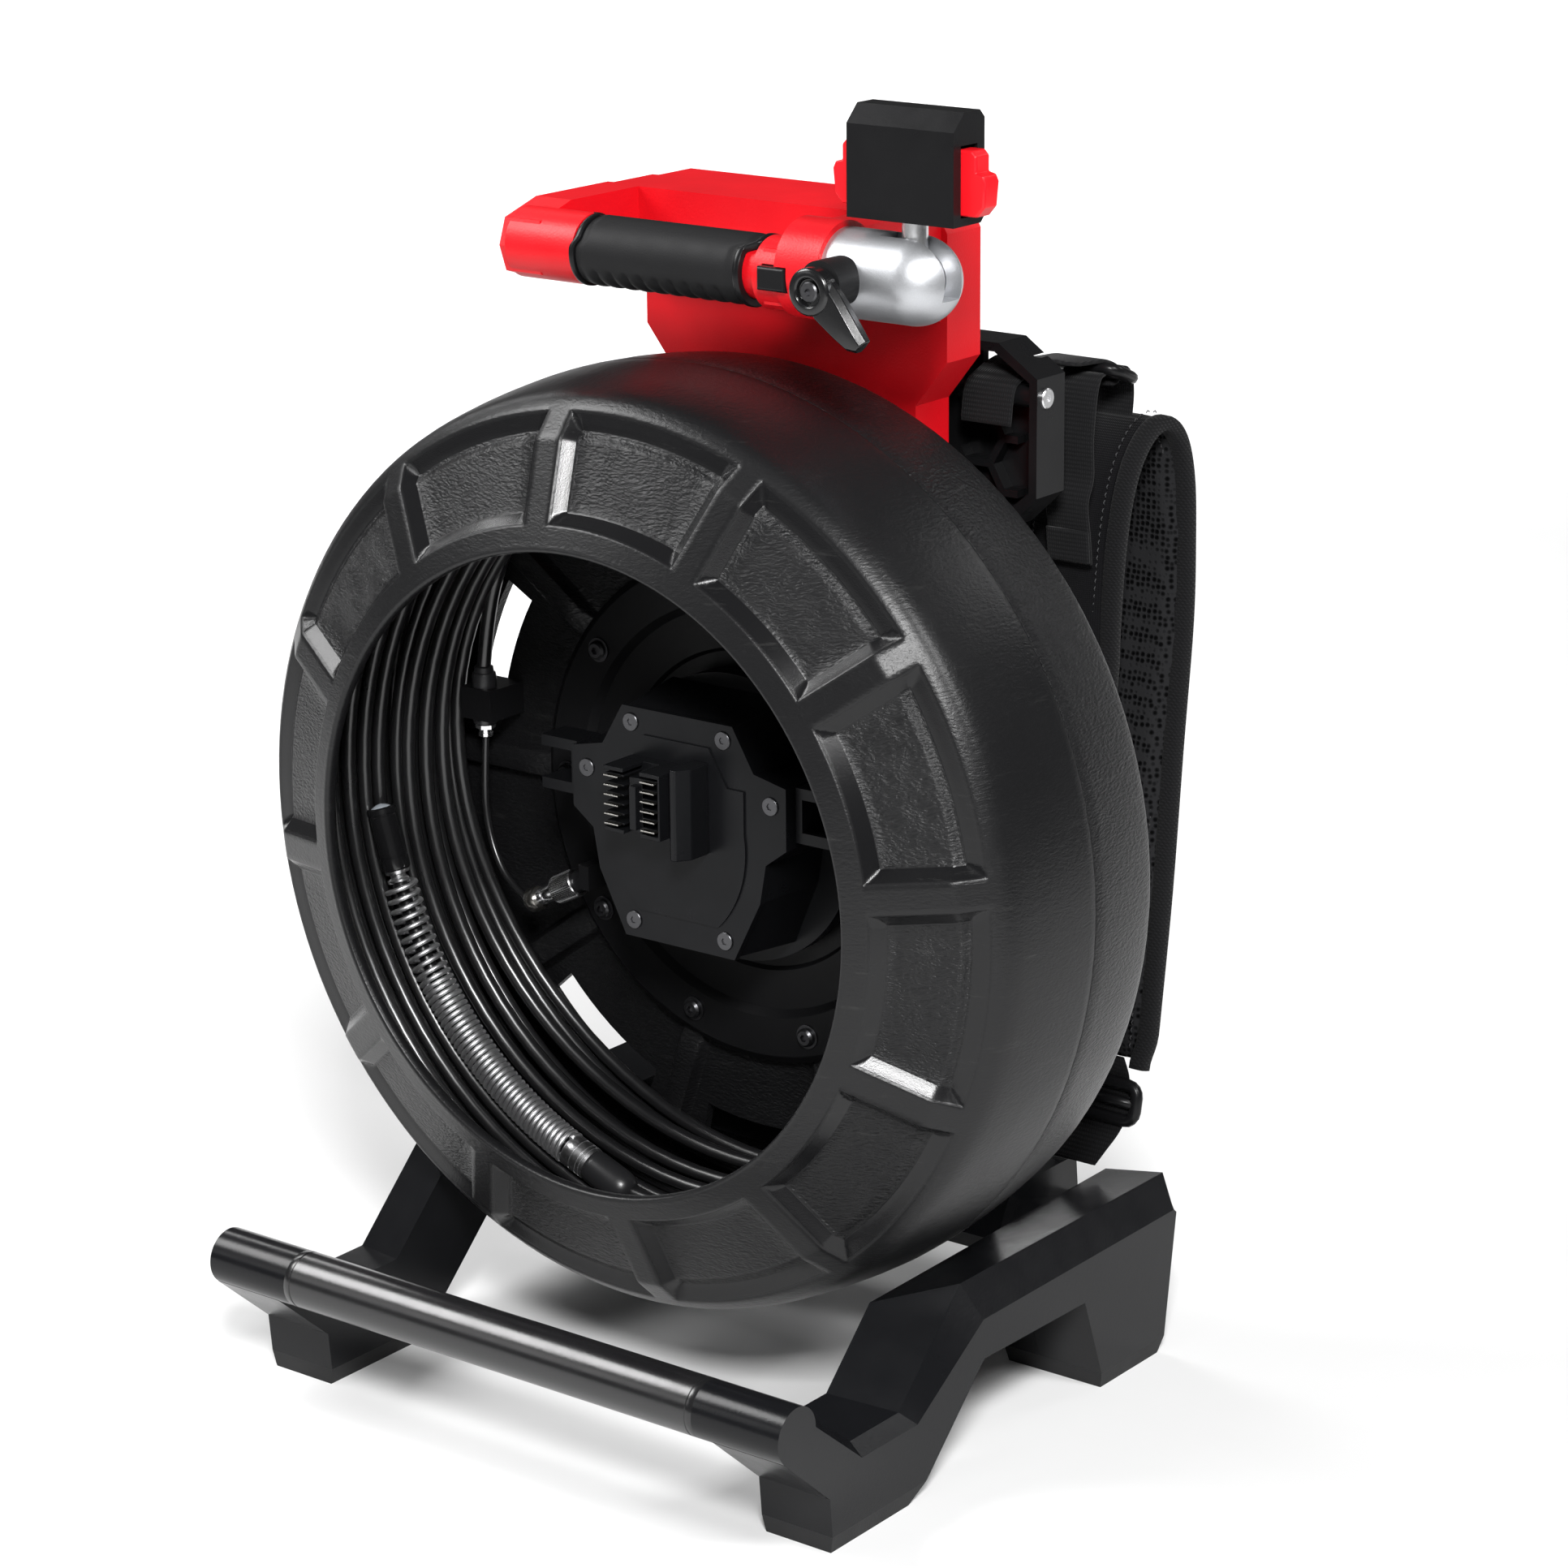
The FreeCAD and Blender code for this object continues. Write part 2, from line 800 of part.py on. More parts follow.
def beyond(angle, distance):
    """Point straight on from the arc's end, in the direction of growing angle."""
    x, y, z = on_head_line(angle)
    step = tangent(angle) * distance
    return x + step.x, y + step.y, z + step.z


def make_camera_head():
    """Camera head, lens ring, clip, ferrule and rounded boot, each straight on from the spring's ends."""
    down = tangent(HEAD_START) * -1
    up = tangent(SPRING_END)
    length = size("headLength")
    collar = 7.0
    node(
        "camera_collar",
        cylinder("camera_collar", "dims.headRadius - 1.5", collar, at(*beyond(HEAD_START, 0), down)),
    )
    head_at = at(*beyond(HEAD_START, -collar), down)
    node("camera_head", cylinder("camera_head", "dims.headRadius", "dims.headLength", head_at))
    lens_at = at(*beyond(HEAD_START, -collar - length), down)
    node("camera_lens", cylinder("camera_lens", "dims.headRadius - 2", 2.0, lens_at))
    ferrule_at = at(*beyond(SPRING_END, 0), up)
    ferrule = cylinder("ferrule", "dims.springRadius - 0.5", FERRULE_LENGTH, ferrule_at)
    node("spring_ferrule", ferrule)
    straight = BOOT_LENGTH - 9
    tube = Part.makeCylinder(size("springRadius"), straight)
    nose = Part.makeCone(size("springRadius"), size("cableRadius") + 1.5, 9.0, Vector(0, 0, straight))
    boot_at = at(*beyond(SPRING_END, FERRULE_LENGTH), up)
    node("cable_boot", feature("cable_boot", tube.fuse(nose), boot_at))


def cable_tail_route():
    """Route of the push cable from the boot to the coil, in the stand frame."""
    x, y, z = beyond(SPRING_END, FERRULE_LENGTH + BOOT_LENGTH)
    return [
        Vector(x, y, z),
        Vector(-4.0, 125.0, 98.0),
        Vector(28.0, 128.0, 96.5),
        Vector(62.0, 132.0, 100.5),
        Vector(95.0, 136.0, 107.5),
    ]


def cable_lead_in_route():
    """Route of the push cable from the coil to its clamp on the rear wall, in the stand frame."""
    return [
        Vector(-117.0, 181.0, 501.0),
        Vector(-147.0, 180.0, 465.0),
        Vector(-166.0, 177.0, 428.0),
        Vector(-175.0, 175.0, 396.0),
        Vector(-178.0, 174.0, 366.0),
    ]


def signal_lead_route():
    """Route of the thin lead from the cable's nut to the slip-ring connector, in the stand frame."""
    return [
        Vector(-178.0, 174.0, 325.0),
        Vector(-179.0, 173.5, 304.0),
        Vector(-178.0, 172.0, 281.0),
        Vector(-171.0, 170.0, 260.0),
        Vector(-158.0, 167.0, 244.0),
        Vector(-141.0, 165.0, 236.5),
    ]


def make_cables():
    for name, route, radius in (
        ("cable_tail", cable_tail_route(), size("cableRadius")),
        ("cable_lead_in", cable_lead_in_route(), size("cableRadius")),
        ("signal_lead", signal_lead_route(), size("leadRadius")),
    ):
        node(name, feature(name, tube_along(route, radius, name)))


def make_cable_clamp():
    """Clamp on the rear wall that holds the sleeve, the sleeve itself and its nut."""
    wall = size("drumBack") - size("backWall")
    axis_x, axis_y = (-178.0, 174.0)
    block = Part.makeBox(22, wall - axis_y + 8, 18, Vector(axis_x - 11, axis_y - 8, 336))
    block = block.cut(Part.makeCylinder(6.0, 30, Vector(axis_x, axis_y, 330)))
    node("cable_clamp", feature("cable_clamp", block))
    node("cable_sleeve", cylinder("cable_sleeve", 6.0, 34.0, at(axis_x, axis_y, 332.0)))
    node("cable_nut", cylinder("cable_nut", 4.6, 7.0, at(axis_x, axis_y, 325.0)))


CONNECTOR_AXIS = Vector(43.5, 0, 22.5).normalize()


def make_connector():
    """Screw connector of the signal lead, and the socket block it goes into."""
    start = signal_lead_route()[-1]
    pieces = (("connector_gland", 7.0, 9.0), ("connector_body", 5.0, 15.0), ("connector_nut", 8.2, 17.0))
    travelled = 0.0
    for name, radius, length in pieces:
        spot = start + CONNECTOR_AXIS * travelled
        node(name, cylinder(name, radius, length, at(*spot, CONNECTOR_AXIS)))
        travelled += length
    spot = start + CONNECTOR_AXIS * travelled
    stub = Part.makeCylinder(6.0, 9.0, spot, CONNECTOR_AXIS)
    back = ring_back() - size("ringDepth") + 4
    foot = Part.makeBox(7, back - spot.y + 8, 14, Vector(spot.x + 7, spot.y - 8, spot.z - 1))
    node("slip_ring_socket", feature("slip_ring_socket", stub.fuse(foot)))


# ---------------------------------------------------------------- housing and handle


def make_housing():
    """Red shell: upright panel behind the drum, top plate, and two arms that run forward to the bar."""
    half = size("housingHalf")
    bottom = size("housingBottom")
    top = size("plateTop")
    back = size("frameBack")
    front = size("housingFront")
    edge = size("plateEdge")
    body = new_body("housing")
    panel = new_sketch(body, "XZ_Plane", -back)
    draw(
        panel,
        [
            (-80, bottom),
            (80, bottom),
            (80, 535),
            (half, 560),
            (half, top - 14),
            (half - 8, top),
            (-half + 8, top),
            (-half, top - 14),
            (-half, 560),
            (-80, 535),
        ],
    )
    pad(body, panel, back - front)
    shelf = new_sketch(body, "YZ_Plane")
    draw(shelf, [(edge, top), (edge, 604), (front + 2, 580), (front + 2, top)])
    pad(body, shelf, "dims.housingHalf * 2 - 8", midplane=True)
    bar_y = size("handleY")
    bar_z = size("handleZ")
    reach = size("gripRadius")
    for low, high in ((-half, -half + 24), (half - 30, half)):
        arm = new_sketch(body, "YZ_Plane", low)
        draw(
            arm,
            [
                (edge + 4, top),
                (bar_y + 12, top),
                (bar_y - reach + 5, bar_z + 14),
                (bar_y - reach, bar_z),
                (bar_y - reach + 5, bar_z - 14),
                (bar_y, bar_z - reach),
                (edge + 4, 603),
            ],
        )
        pad(body, arm, high - low)
    # core of the handle, which the grip covers
    core = new_sketch(body, "YZ_Plane", -half + 4)
    draw_circle(core, size("coreRadius"), (bar_y, bar_z))
    pad(body, core, half * 2 - 8)
    # red collar between the grip and the socket, and the matching one at the left end
    for start, end in ((size("gripRight"), half), (-half + 4, size("gripLeft"))):
        collar = new_sketch(body, "YZ_Plane", start)
        draw_circle(collar, size("gripRadius") + 0.3, (bar_y, bar_z))
        pad(body, collar, end - start)
    boss = new_sketch(body, "YZ_Plane", half - 18)
    draw_circle(boss, size("socketRadius") + 3, (size("socketY"), size("socketZ")))
    pad(body, boss, size("socketLeft") - half + 18)
    # recess for the push button
    well = new_sketch(body, "XZ_Plane", -(bar_y - reach + 4))
    x_low, z_low = BUTTON_LOW
    x_high, z_high = BUTTON_HIGH
    draw(well, [(x_low, z_low), (x_high, z_low), (x_high, z_high), (x_low, z_high)])
    pocket = pad(body, well, 20.0, kind="PartDesign::Pocket", reverse=True)
    pocket.Refine = True
    return body


BUTTON_LOW = (71.5, 613.5)
BUTTON_HIGH = (89.5, 626.5)


def make_button():
    """Push button beside the grip; it slides back into its well."""
    gap = 0.5
    front = size("handleY") - size("gripRadius") - 4.5
    seat = size("handleY") - size("gripRadius") + 1.4
    button = box(
        "push_button_box",
        (BUTTON_LOW[0] + gap, front, BUTTON_LOW[1] + gap),
        (BUTTON_HIGH[0] - gap, seat, BUTTON_HIGH[1] - gap),
    )
    rounded = doc.addObject("Part::Fillet", "push_button")
    rounded.Base = button
    rounded.Edges = [(index, 1.6, 1.6) for index in (1, 5, 9, 10)]
    return rounded


def make_grip():
    """Rubber sleeve over the handle's core, with flat finger ridges underneath."""
    length = size("gripRight") - size("gripLeft") - 8
    start = size("gripLeft") + 4
    tube = Part.makeCylinder(size("gripRadius"), length)
    bore = Part.makeCylinder(size("coreRadius"), length)
    shape = tube.cut(bore)
    return feature("handle_grip", shape, at(start, size("handleY"), size("handleZ"), X_AXIS))


def make_grip_trims():
    rings = []
    for start in (size("gripLeft"), size("gripRight") - 4):
        ring = Part.makeCylinder(size("gripRadius") + 0.6, 4.0, Vector(0, 0, start))
        rings.append(ring.cut(Part.makeCylinder(size("coreRadius"), 4.0, Vector(0, 0, start))))
    start = at(0, size("handleY"), size("handleZ"), X_AXIS)
    return feature("grip_trims", Part.makeCompound(rings), start)


# ---------------------------------------------------------------- device mount


def make_socket():
    """Aluminium socket: a round bar with a domed end, a ball seat and a slot for the stem."""
    left = size("socketLeft")
    right = size("socketRight")
    radius = size("socketRadius")
    middle = Vector(0, size("socketY"), size("socketZ"))
    dome = Part.makeSphere(radius, Vector(right - radius, middle.y, middle.z))
    bar = Part.makeCylinder(radius, right - radius - left, Vector(left, middle.y, middle.z), X_AXIS)
    shape = bar.fuse(dome)
    ball = Vector(size("ballX"), middle.y, middle.z)
    seat = Part.makeSphere(size("ballRadius") + 0.3, ball)
    width = size("slotWidth")
    slot = Part.makeBox(40, width, 40, Vector(ball.x - 16, middle.y - width / 2, ball.z))
    end_slot = Part.makeBox(40, width, 32, Vector(ball.x, middle.y - width / 2, ball.z - 8))
    shape = shape.cut([seat, slot, end_slot])
    return feature("mount_socket", shape)


def make_ball_stud():
    """Ball with its stem, which stands up through the slot."""
    ball_spot = (size("ballX"), size("socketY"), size("socketZ"))
    ball = doc.addObject("Part::Sphere", "ball")
    bind(ball, Radius="dims.ballRadius")
    ball.Placement = at(*ball_spot)
    stem = cylinder("stem", "dims.stemRadius", "dims.blockBottom - dims.socketZ - 0.3", at(*ball_spot))
    return fuse("ball_stud", [ball, stem])


def make_lever_sleeve():
    front = size("leverY") + 7.3
    back = size("socketY") - size("socketRadius") + 2.5
    sleeve = Part.makeCylinder(12.2, back - front, Vector(size("leverX"), front, size("socketZ")), Y_AXIS)
    bar_start = Vector(size("socketLeft") - 20, size("socketY"), size("socketZ"))
    bar = Part.makeCylinder(size("socketRadius"), 60.0, bar_start, X_AXIS)
    return feature("lever_sleeve", sleeve.cut(bar))


def make_clamp_lever():
    """Clamp lever: a round hub and a tapering arm that points down to the right."""
    hub = Part.makeCylinder(12.0, 10.0)
    outline = ((-9, -9), (34, -6.5), (38, -3), (38, 5), (8, 11))
    arm = face_of([Vector(x, y, 0) for x, y in outline]).extrude(Z_AXIS * 9)
    shape = hub.fuse(arm).cut(Part.makeCylinder(6.5, 6, Vector(0, 0, 7)))
    turn = Rotation(X_AXIS, 90).multiply(Rotation(Z_AXIS, -42))
    spot = at(size("leverX"), size("leverY") + 7, size("socketZ") - 2).Base
    return feature("clamp_lever", shape, Placement(spot, turn))


def make_lever_screw():
    head = screw(5.2, 2.4, 2.0, 1.6)
    return feature("lever_screw", head, at(size("leverX"), size("leverY"), size("socketZ") - 2, -Y_AXIS))


def make_mount_block():
    """Device holder: a box with bevelled top edges, and a well at each side for a latch."""
    body = new_body("mount_block")
    half = size("blockWidth") / 2
    x = size("ballX")
    low = size("blockBottom")
    high = size("blockTop")
    front = size("blockFront")
    back = size("blockBack")
    side = new_sketch(body, "YZ_Plane", x - half)
    rear = [(back - 3, low), (back, low + 3), (back, high - 4), (back - 4, high)]
    draw(side, [(front, low), *rear, (front + 9, high), (front, high - 9)])
    pad(body, side, "dims.blockWidth")
    for sign in (-1, 1):
        well = new_sketch(body, "XZ_Plane", -(front + 6))
        inner, outer = sorted((x + sign * (half - 8), x + sign * (half + 1)))
        draw(well, [(inner, low + 4), (outer, low + 4), (outer, high - 16), (inner, high - 16)])
        pad(body, well, 14.0, kind="PartDesign::Pocket", reverse=False)
    return body


def make_latch(name, side):
    """Side latch: a finger pad outside the block and a plate that slides in its well."""
    x = size("ballX") + side * size("blockWidth") / 2
    low = size("blockBottom") + 5
    mid = (size("blockFront") + size("blockBack")) / 2
    inner, outer = sorted((x - side * 3.5, x + side * 14))
    plate_inner, plate_outer = sorted((x - side * 3.5, x + side * 8))
    lower = Part.makeBox(outer - inner, 12, 20, Vector(inner, mid - 6, low))
    upper = Part.makeBox(plate_outer - plate_inner, 12, 32, Vector(plate_inner, mid - 6, low))
    return feature(name, lower.fuse(upper))


# ---------------------------------------------------------------- harness


def make_bracket():
    """Strap bracket: a tray open to the front, on a spine that stands off the housing's back."""
    body = new_body("strap_bracket")
    half = size("bracketHalf")
    wall = size("bracketWall")
    front = size("bracketFront")
    back = size("bracketBack")
    spine_half = size("spineHalf")

    def outline(inset):
        return [
            (-half + 20 + inset, 463 + inset),
            (half - 20 - inset, 463 + inset),
            (half - inset, 482 + inset / 2),
            (half - inset, 546 - inset / 2),
            (half - 25 - inset / 2, 563 - inset),
            (-half + 25 + inset / 2, 563 - inset),
            (-half + inset, 546 - inset / 2),
            (-half + inset, 482 + inset / 2),
        ]

    block = draw(new_sketch(body, "XZ_Plane", -back), outline(0))
    pad(body, block, "dims.bracketBack - dims.bracketFront")
    hollow = draw(new_sketch(body, "XZ_Plane", -(back - wall)), outline(wall))
    pad(body, hollow, back - wall - front + 1, kind="PartDesign::Pocket", reverse=True)
    spine = new_sketch(body, "XZ_Plane", -(back - wall))
    draw(spine, [(-spine_half, 480), (spine_half, 480), (spine_half, 550), (-spine_half, 550)])
    pad(body, spine, back - wall - size("frameBack"))
    for middle in (-94.0, 94.0):
        slot = new_sketch(body, "XZ_Plane", -back)
        draw(slot, [(middle - 19, 543), (middle + 19, 543), (middle + 19, 555), (middle - 19, 555)])
        pad(body, slot, wall * 2, kind="PartDesign::Pocket", reverse=True)
    return body


def make_honeycomb():
    """Hexagonal ribs inside the tray, on both sides of the spine."""
    half = size("bracketHalf") - size("bracketWall")
    back = size("bracketBack") - size("bracketWall")
    cell = 17.0
    rib = 2.4
    depth = 8.0
    sheet_low = Vector(-half + 16, back - depth, 468)
    plate = Part.makeBox(2 * half - 32, depth, 52, sheet_low)
    holes = []
    pitch_x = cell * 1.5
    pitch_z = cell * math.sqrt(3)
    for column in range(-4, 5):
        for level in range(-1, 3):
            x = column * pitch_x
            z = 494 + level * pitch_z + (pitch_z / 2 if column % 2 else 0)
            centre = Vector(x, back - depth - 1, z)
            ring = [centre + polar(cell - rib, 60 * corner) for corner in range(6)]
            holes.append(face_of(ring).extrude(Y_AXIS * (depth + 2)))
    spine_half = size("spineHalf")
    spine = Part.makeBox(2 * spine_half, 2 * depth, 90, Vector(-spine_half, back - 1.5 * depth, 460))
    return feature("bracket_honeycomb", plate.cut([*holes, spine]))


def make_rods():
    rods = []
    for side in (-1, 1):
        start = side * (size("bracketHalf") - size("bracketWall"))
        spot = Vector(start, size("rodY"), size("rodZ") - 6)
        rods.append(Part.makeCylinder(6.0, 50.0, spot, X_AXIS * -side))
    return feature("strap_rods", Part.makeCompound(rods))


def make_rod_screws():
    heads = []
    for side in (-1, 1):
        one = screw(5.5, 2.0, 2.2, 1.4)
        spot = Vector(side * size("bracketHalf"), size("rodY"), size("rodZ") - 6)
        one.Placement = Placement(spot, Rotation(Z_AXIS, X_AXIS * side))
        heads.append(one)
    return feature("rod_screws", Part.makeCompound(heads))


def ribbon(stations, width, thick):
    """Band through stations (X, Y, Z), wide along X, thick across its run in the YZ plane."""
    wires = []
    for index, (x, y, z) in enumerate(stations):
        before = Vector(*stations[max(index - 1, 0)])
        after = Vector(*stations[min(index + 1, len(stations) - 1)])
        run = after - before
        run.x = 0
        across = run.normalize().cross(X_AXIS) * (thick / 2)
        centre = Vector(x, y, z)
        side = X_AXIS * (width / 2)
        near = [centre - side - across, centre + side - across]
        ring = near + [centre + side + across, centre - side + across]
        wires.append(Part.makePolygon(ring + ring[:1]))
    return Part.makeLoft(wires, True, True)


def pad_stations(side):
    """Centreline of a shoulder pad: up behind the frame, over a fold and down to the lower buckle."""
    line = (
        (101, 338, 335),
        (102, 338, 400),
        (104, 341, 452),
        (105, 350, 484),
        (106, 364, 502),
        (108, 378, 507),
        (110, 390, 497),
        (112, 395, 474),
        (114, 394, 440),
        (118, 387, 395),
        (125, 368, 330),
        (134, 345, 253),
        (140, 325, 185),
        (142, 318, 158),
    )
    return [(side * x, y, z) for x, y, z in line]


def make_shoulder_pad(name, side):
    return feature(name, ribbon(pad_stations(side), size("padWidth"), size("padThick")))


def web_loop(side):
    """Web from over the rod, through the slot in the bracket's back, to the buckle."""
    x = side * 94
    rod_y = size("rodY")
    line = [(x, rod_y - 10, 545), (x, rod_y, 547), (x, 306, 549), (x + side * 8, 333, 542)]
    return ribbon(line, size("webWidth"), size("webThick"))


def web_tail(side):
    """Loose end of the web, hanging down in front of the pad."""
    x = side * 112
    line = [(x, 337, 533), (x, 329, 512), (x, 325, 475), (x, 328, 436)]
    return ribbon(line, size("webWidth") - 5, size("webThick"))


def buckle_shape(width, depth, thick, bar, place):
    """Three-bar buckle, lying flat: a frame with two slots."""
    frame = Part.makeBox(width, depth, thick, Vector(-width / 2, -depth / 2, -thick / 2))
    slot = (depth - 3 * bar) / 2
    holes = []
    for start in (-depth / 2 + bar, bar / 2):
        holes.append(Part.makeBox(width - 10, slot, thick, Vector(-width / 2 + 5, start, -thick / 2)))
    buckle = frame.cut(holes)
    buckle.Placement = place
    return buckle


def top_buckle(side):
    place = Placement(Vector(side * 106, 357, 536), Rotation(X_AXIS, -22))
    return buckle_shape(46.0, 30.0, 6.0, 6.0, place)


def lower_buckle(side):
    place = Placement(Vector(side * 150, 314, 138), Rotation(X_AXIS, 78))
    return buckle_shape(42.0, 26.0, 6.0, 5.0, place)


def lower_web(side):
    """Short web from the rear cross member up to the lower buckle."""
    line = [(side * 134, 304, 102), (side * 140, 308, 110), (side * 145, 311, 119)]
    return ribbon(line, size("webWidth") - 4, size("webThick"))


def make_pair(name, shape_of):
    """Left and right piece of the harness, two separate solids in one node."""
    return feature(name, Part.makeCompound([shape_of(-1), shape_of(1)]))


# ---------------------------------------------------------------- build

for rail_name, rail_side in mirrored_names("rail"):
    node(rail_name, make_rail(rail_name, rail_side))
node("front_bar", make_bar())
node("foot_pads_front", make_foot_pads("foot_pads_front", 0.0, 66.5, -1.0, 80.0, size("railInner")))
node("foot_pads_rear", make_foot_pads("foot_pads_rear", 246.0, 303.0, 244.0, 307.0, size("legInner")))
node("rear_cross_member", make_cross_member())
node("back_upright", make_upright())

node("drum_front_shell", make_front_shell())
node("drum_rear_shell", make_rear_shell())
node("hub_ring", make_hub_ring())
node("ring_screws", make_ring_screws())

node("axle", make_axle())
node("bearing_ring", make_bearing())
node("hub_tower", make_hub_tower())
node("guide_arms", make_guide_arms())
node("hub_plate", make_hub_plate())
node("cover_insert", make_cover_insert())
node("terminal_block", make_terminal_block())
node("terminal_blades", make_terminal_blades())
node("hub_screws", make_hub_screws())

node("cable_coil", make_coil())
node("camera_spring", make_spring())
make_camera_head()
make_cables()
make_cable_clamp()
make_connector()

node("housing", make_housing())
node("push_button", make_button())
node("handle_grip", make_grip())
node("grip_trims", make_grip_trims())

node("mount_socket", make_socket())
node("ball_stud", make_ball_stud())
node("lever_sleeve", make_lever_sleeve())
node("clamp_lever", make_clamp_lever())
node("lever_screw", make_lever_screw())
node("mount_block", make_mount_block())
for latch_name, latch_side in mirrored_names("latch"):
    node(latch_name, make_latch(latch_name, latch_side))

node("strap_bracket", make_bracket())
node("bracket_honeycomb", make_honeycomb())
node("strap_rods", make_rods())
node("rod_screws", make_rod_screws())
for pad_name, pad_side in mirrored_names("shoulder_pad"):
    node(pad_name, make_shoulder_pad(pad_name, pad_side))
for pair_name, shape_of in (
    ("web_loops", web_loop),
    ("web_tails", web_tail),
    ("top_buckles", top_buckle),
    ("lower_buckles", lower_buckle),
    ("lower_webs", lower_web),
):
    node(pair_name, make_pair(pair_name, shape_of))

doc.recompute()

failed = [obj.Name for obj in doc.Objects if {"Invalid", "Error"} & set(obj.State)]
if failed:
    raise RuntimeError(f"objects that failed: {failed}")
box_all = FreeCAD.BoundBox()
for name, obj in NODES.items():
    if obj.Shape.isNull() or not obj.Shape.isValid() or obj.Shape.Volume <= 0:
        raise RuntimeError(f"{name} has no valid shape")
    box_all.add(obj.Shape.BoundBox)

os.makedirs("parts", exist_ok=True)
for name, obj in NODES.items():
    obj.Shape.exportStep(f"parts/{name}.step")
print(f"{len(NODES)} nodes, box {box_all}")
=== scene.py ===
import math

import bmesh
import bpy
from mathutils import Matrix, Vector


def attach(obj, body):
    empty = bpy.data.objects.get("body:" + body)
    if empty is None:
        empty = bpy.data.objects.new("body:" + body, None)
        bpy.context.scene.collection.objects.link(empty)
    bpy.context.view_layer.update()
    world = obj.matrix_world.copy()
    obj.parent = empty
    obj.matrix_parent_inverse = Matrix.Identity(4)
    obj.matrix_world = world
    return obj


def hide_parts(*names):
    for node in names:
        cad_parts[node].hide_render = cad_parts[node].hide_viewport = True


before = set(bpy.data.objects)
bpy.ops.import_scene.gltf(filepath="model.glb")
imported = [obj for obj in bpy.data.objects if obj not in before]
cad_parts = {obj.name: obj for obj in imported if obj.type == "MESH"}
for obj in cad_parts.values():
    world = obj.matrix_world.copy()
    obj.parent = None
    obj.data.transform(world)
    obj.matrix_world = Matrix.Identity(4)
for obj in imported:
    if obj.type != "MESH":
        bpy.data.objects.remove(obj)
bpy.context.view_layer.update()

# Metres. Points are counted from the front face of the front feet, as in the CAD part, and spot()
# moves them to the row frame, whose origin is MID_DEPTH further back. Profiles of turned pieces
# are in millimetres.
MM = 0.001
MID_DEPTH = 0.178
DRUM_Z = 0.3097


def spot(x, y, z):
    return Vector((x, y - MID_DEPTH, z))


def spots(points):
    return [spot(*point) for point in points]


def on_drum(radius, angle, y):
    """Point round the drum's axis; the angle is in degrees from +X towards +Z."""
    turn = math.radians(angle)
    return spot(radius * math.cos(turn), y, DRUM_Z + radius * math.sin(turn))


# ---- camera


def add_camera():
    azimuth, elevation, roll = (math.radians(a) for a in (37.48, 16.74, -0.49))
    level = math.cos(elevation)
    back = Vector((math.sin(azimuth) * level, -math.cos(azimuth) * level, math.sin(elevation)))
    flat_right = Vector((0, 0, 1)).cross(back).normalized()
    flat_up = back.cross(flat_right)
    right = flat_right * math.cos(roll) + flat_up * math.sin(roll)
    up = flat_up * math.cos(roll) - flat_right * math.sin(roll)
    camera = bpy.data.objects.new("camera", bpy.data.cameras.new("camera"))
    camera.data.lens = 99.65
    camera.data.sensor_width = 36.0
    turn = Matrix((right, up, back)).transposed().to_4x4()
    camera.matrix_world = Matrix.Translation(spot(1.38, -1.5832, 0.9997)) @ turn
    bpy.context.scene.collection.objects.link(camera)
    bpy.context.scene.camera = camera


# ---- mesh helpers


def smooth_step(value, low, high):
    t = min(1, max(0, (value - low) / (high - low)))
    return t * t * (3 - 2 * t)


def place(obj, body, slot, *nodes):
    """Parents a finished piece to its body and hides the CAD nodes it stands for; the finish slot is not
    used.
    """
    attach(obj, body)
    if nodes:
        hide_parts(*nodes)


def new_object(name, points, faces, material):
    """Smooth-shaded mesh object with its normals facing out."""
    mesh = bpy.data.meshes.new(name)
    mesh.from_pydata([tuple(p) for p in points], [], faces)
    mesh.validate()
    mesh.materials.append(material)
    mesh.shade_smooth()
    obj = bpy.data.objects.new(name, mesh)
    bpy.context.scene.collection.objects.link(obj)
    bm = bmesh.new()
    bm.from_mesh(mesh)
    bmesh.ops.recalc_face_normals(bm, faces=bm.faces)
    bm.to_mesh(mesh)
    bm.free()
    return obj


def sheet_faces(rows, columns, close_rows=False, close_columns=False, keep=None):
    """Quads of a grid stored row by row."""
    faces = []
    for i in range(rows if close_rows else rows - 1):
        for j in range(columns if close_columns else columns - 1):
            if keep and not keep(i, j):
                continue
            a, b = i * columns, ((i + 1) % rows) * columns
            k = (j + 1) % columns
            faces.append((a + j, a + k, b + k, b + j))
    return faces


def solid_of_rings(rings, closed=False):
    """Points and faces of a skin over rings with the same number of points, capped unless closed."""
    count = len(rings[0])
    points = [p for ring in rings for p in ring]
    faces = sheet_faces(len(rings), count, close_rows=closed, close_columns=True)
    if not closed:
        faces.append(tuple(range(count)))
        faces.append(tuple(range(len(points) - count, len(points))))
    return points, faces


def joined(skins):
    """Points and faces of several separate skins as one."""
    points, faces = [], []
    for more_points, more_faces in skins:
        first = len(points)
        points += more_points
        faces += [tuple(first + k for k in face) for face in more_faces]
    return points, faces


def add_piece(name, skin, paint, body, slot, *nodes, sharp=None):
    """Piece from its points and faces; edges that turn by more than sharp, in degrees, stay sharp."""
    obj = new_object(name, *skin, PAINT[paint])
    if sharp:
        obj.data.set_sharp_from_angle(angle=math.radians(sharp))
    place(obj, body, slot, *nodes)
    return obj


def bevel(obj, width, angle=32):
    """Rounded edges, with the flats kept flat."""
    edges = obj.modifiers.new("edges", "BEVEL")
    edges.width = width
    edges.segments = 2
    edges.limit_method = "ANGLE"
    edges.angle_limit = math.radians(angle)
    edges.harden_normals = True


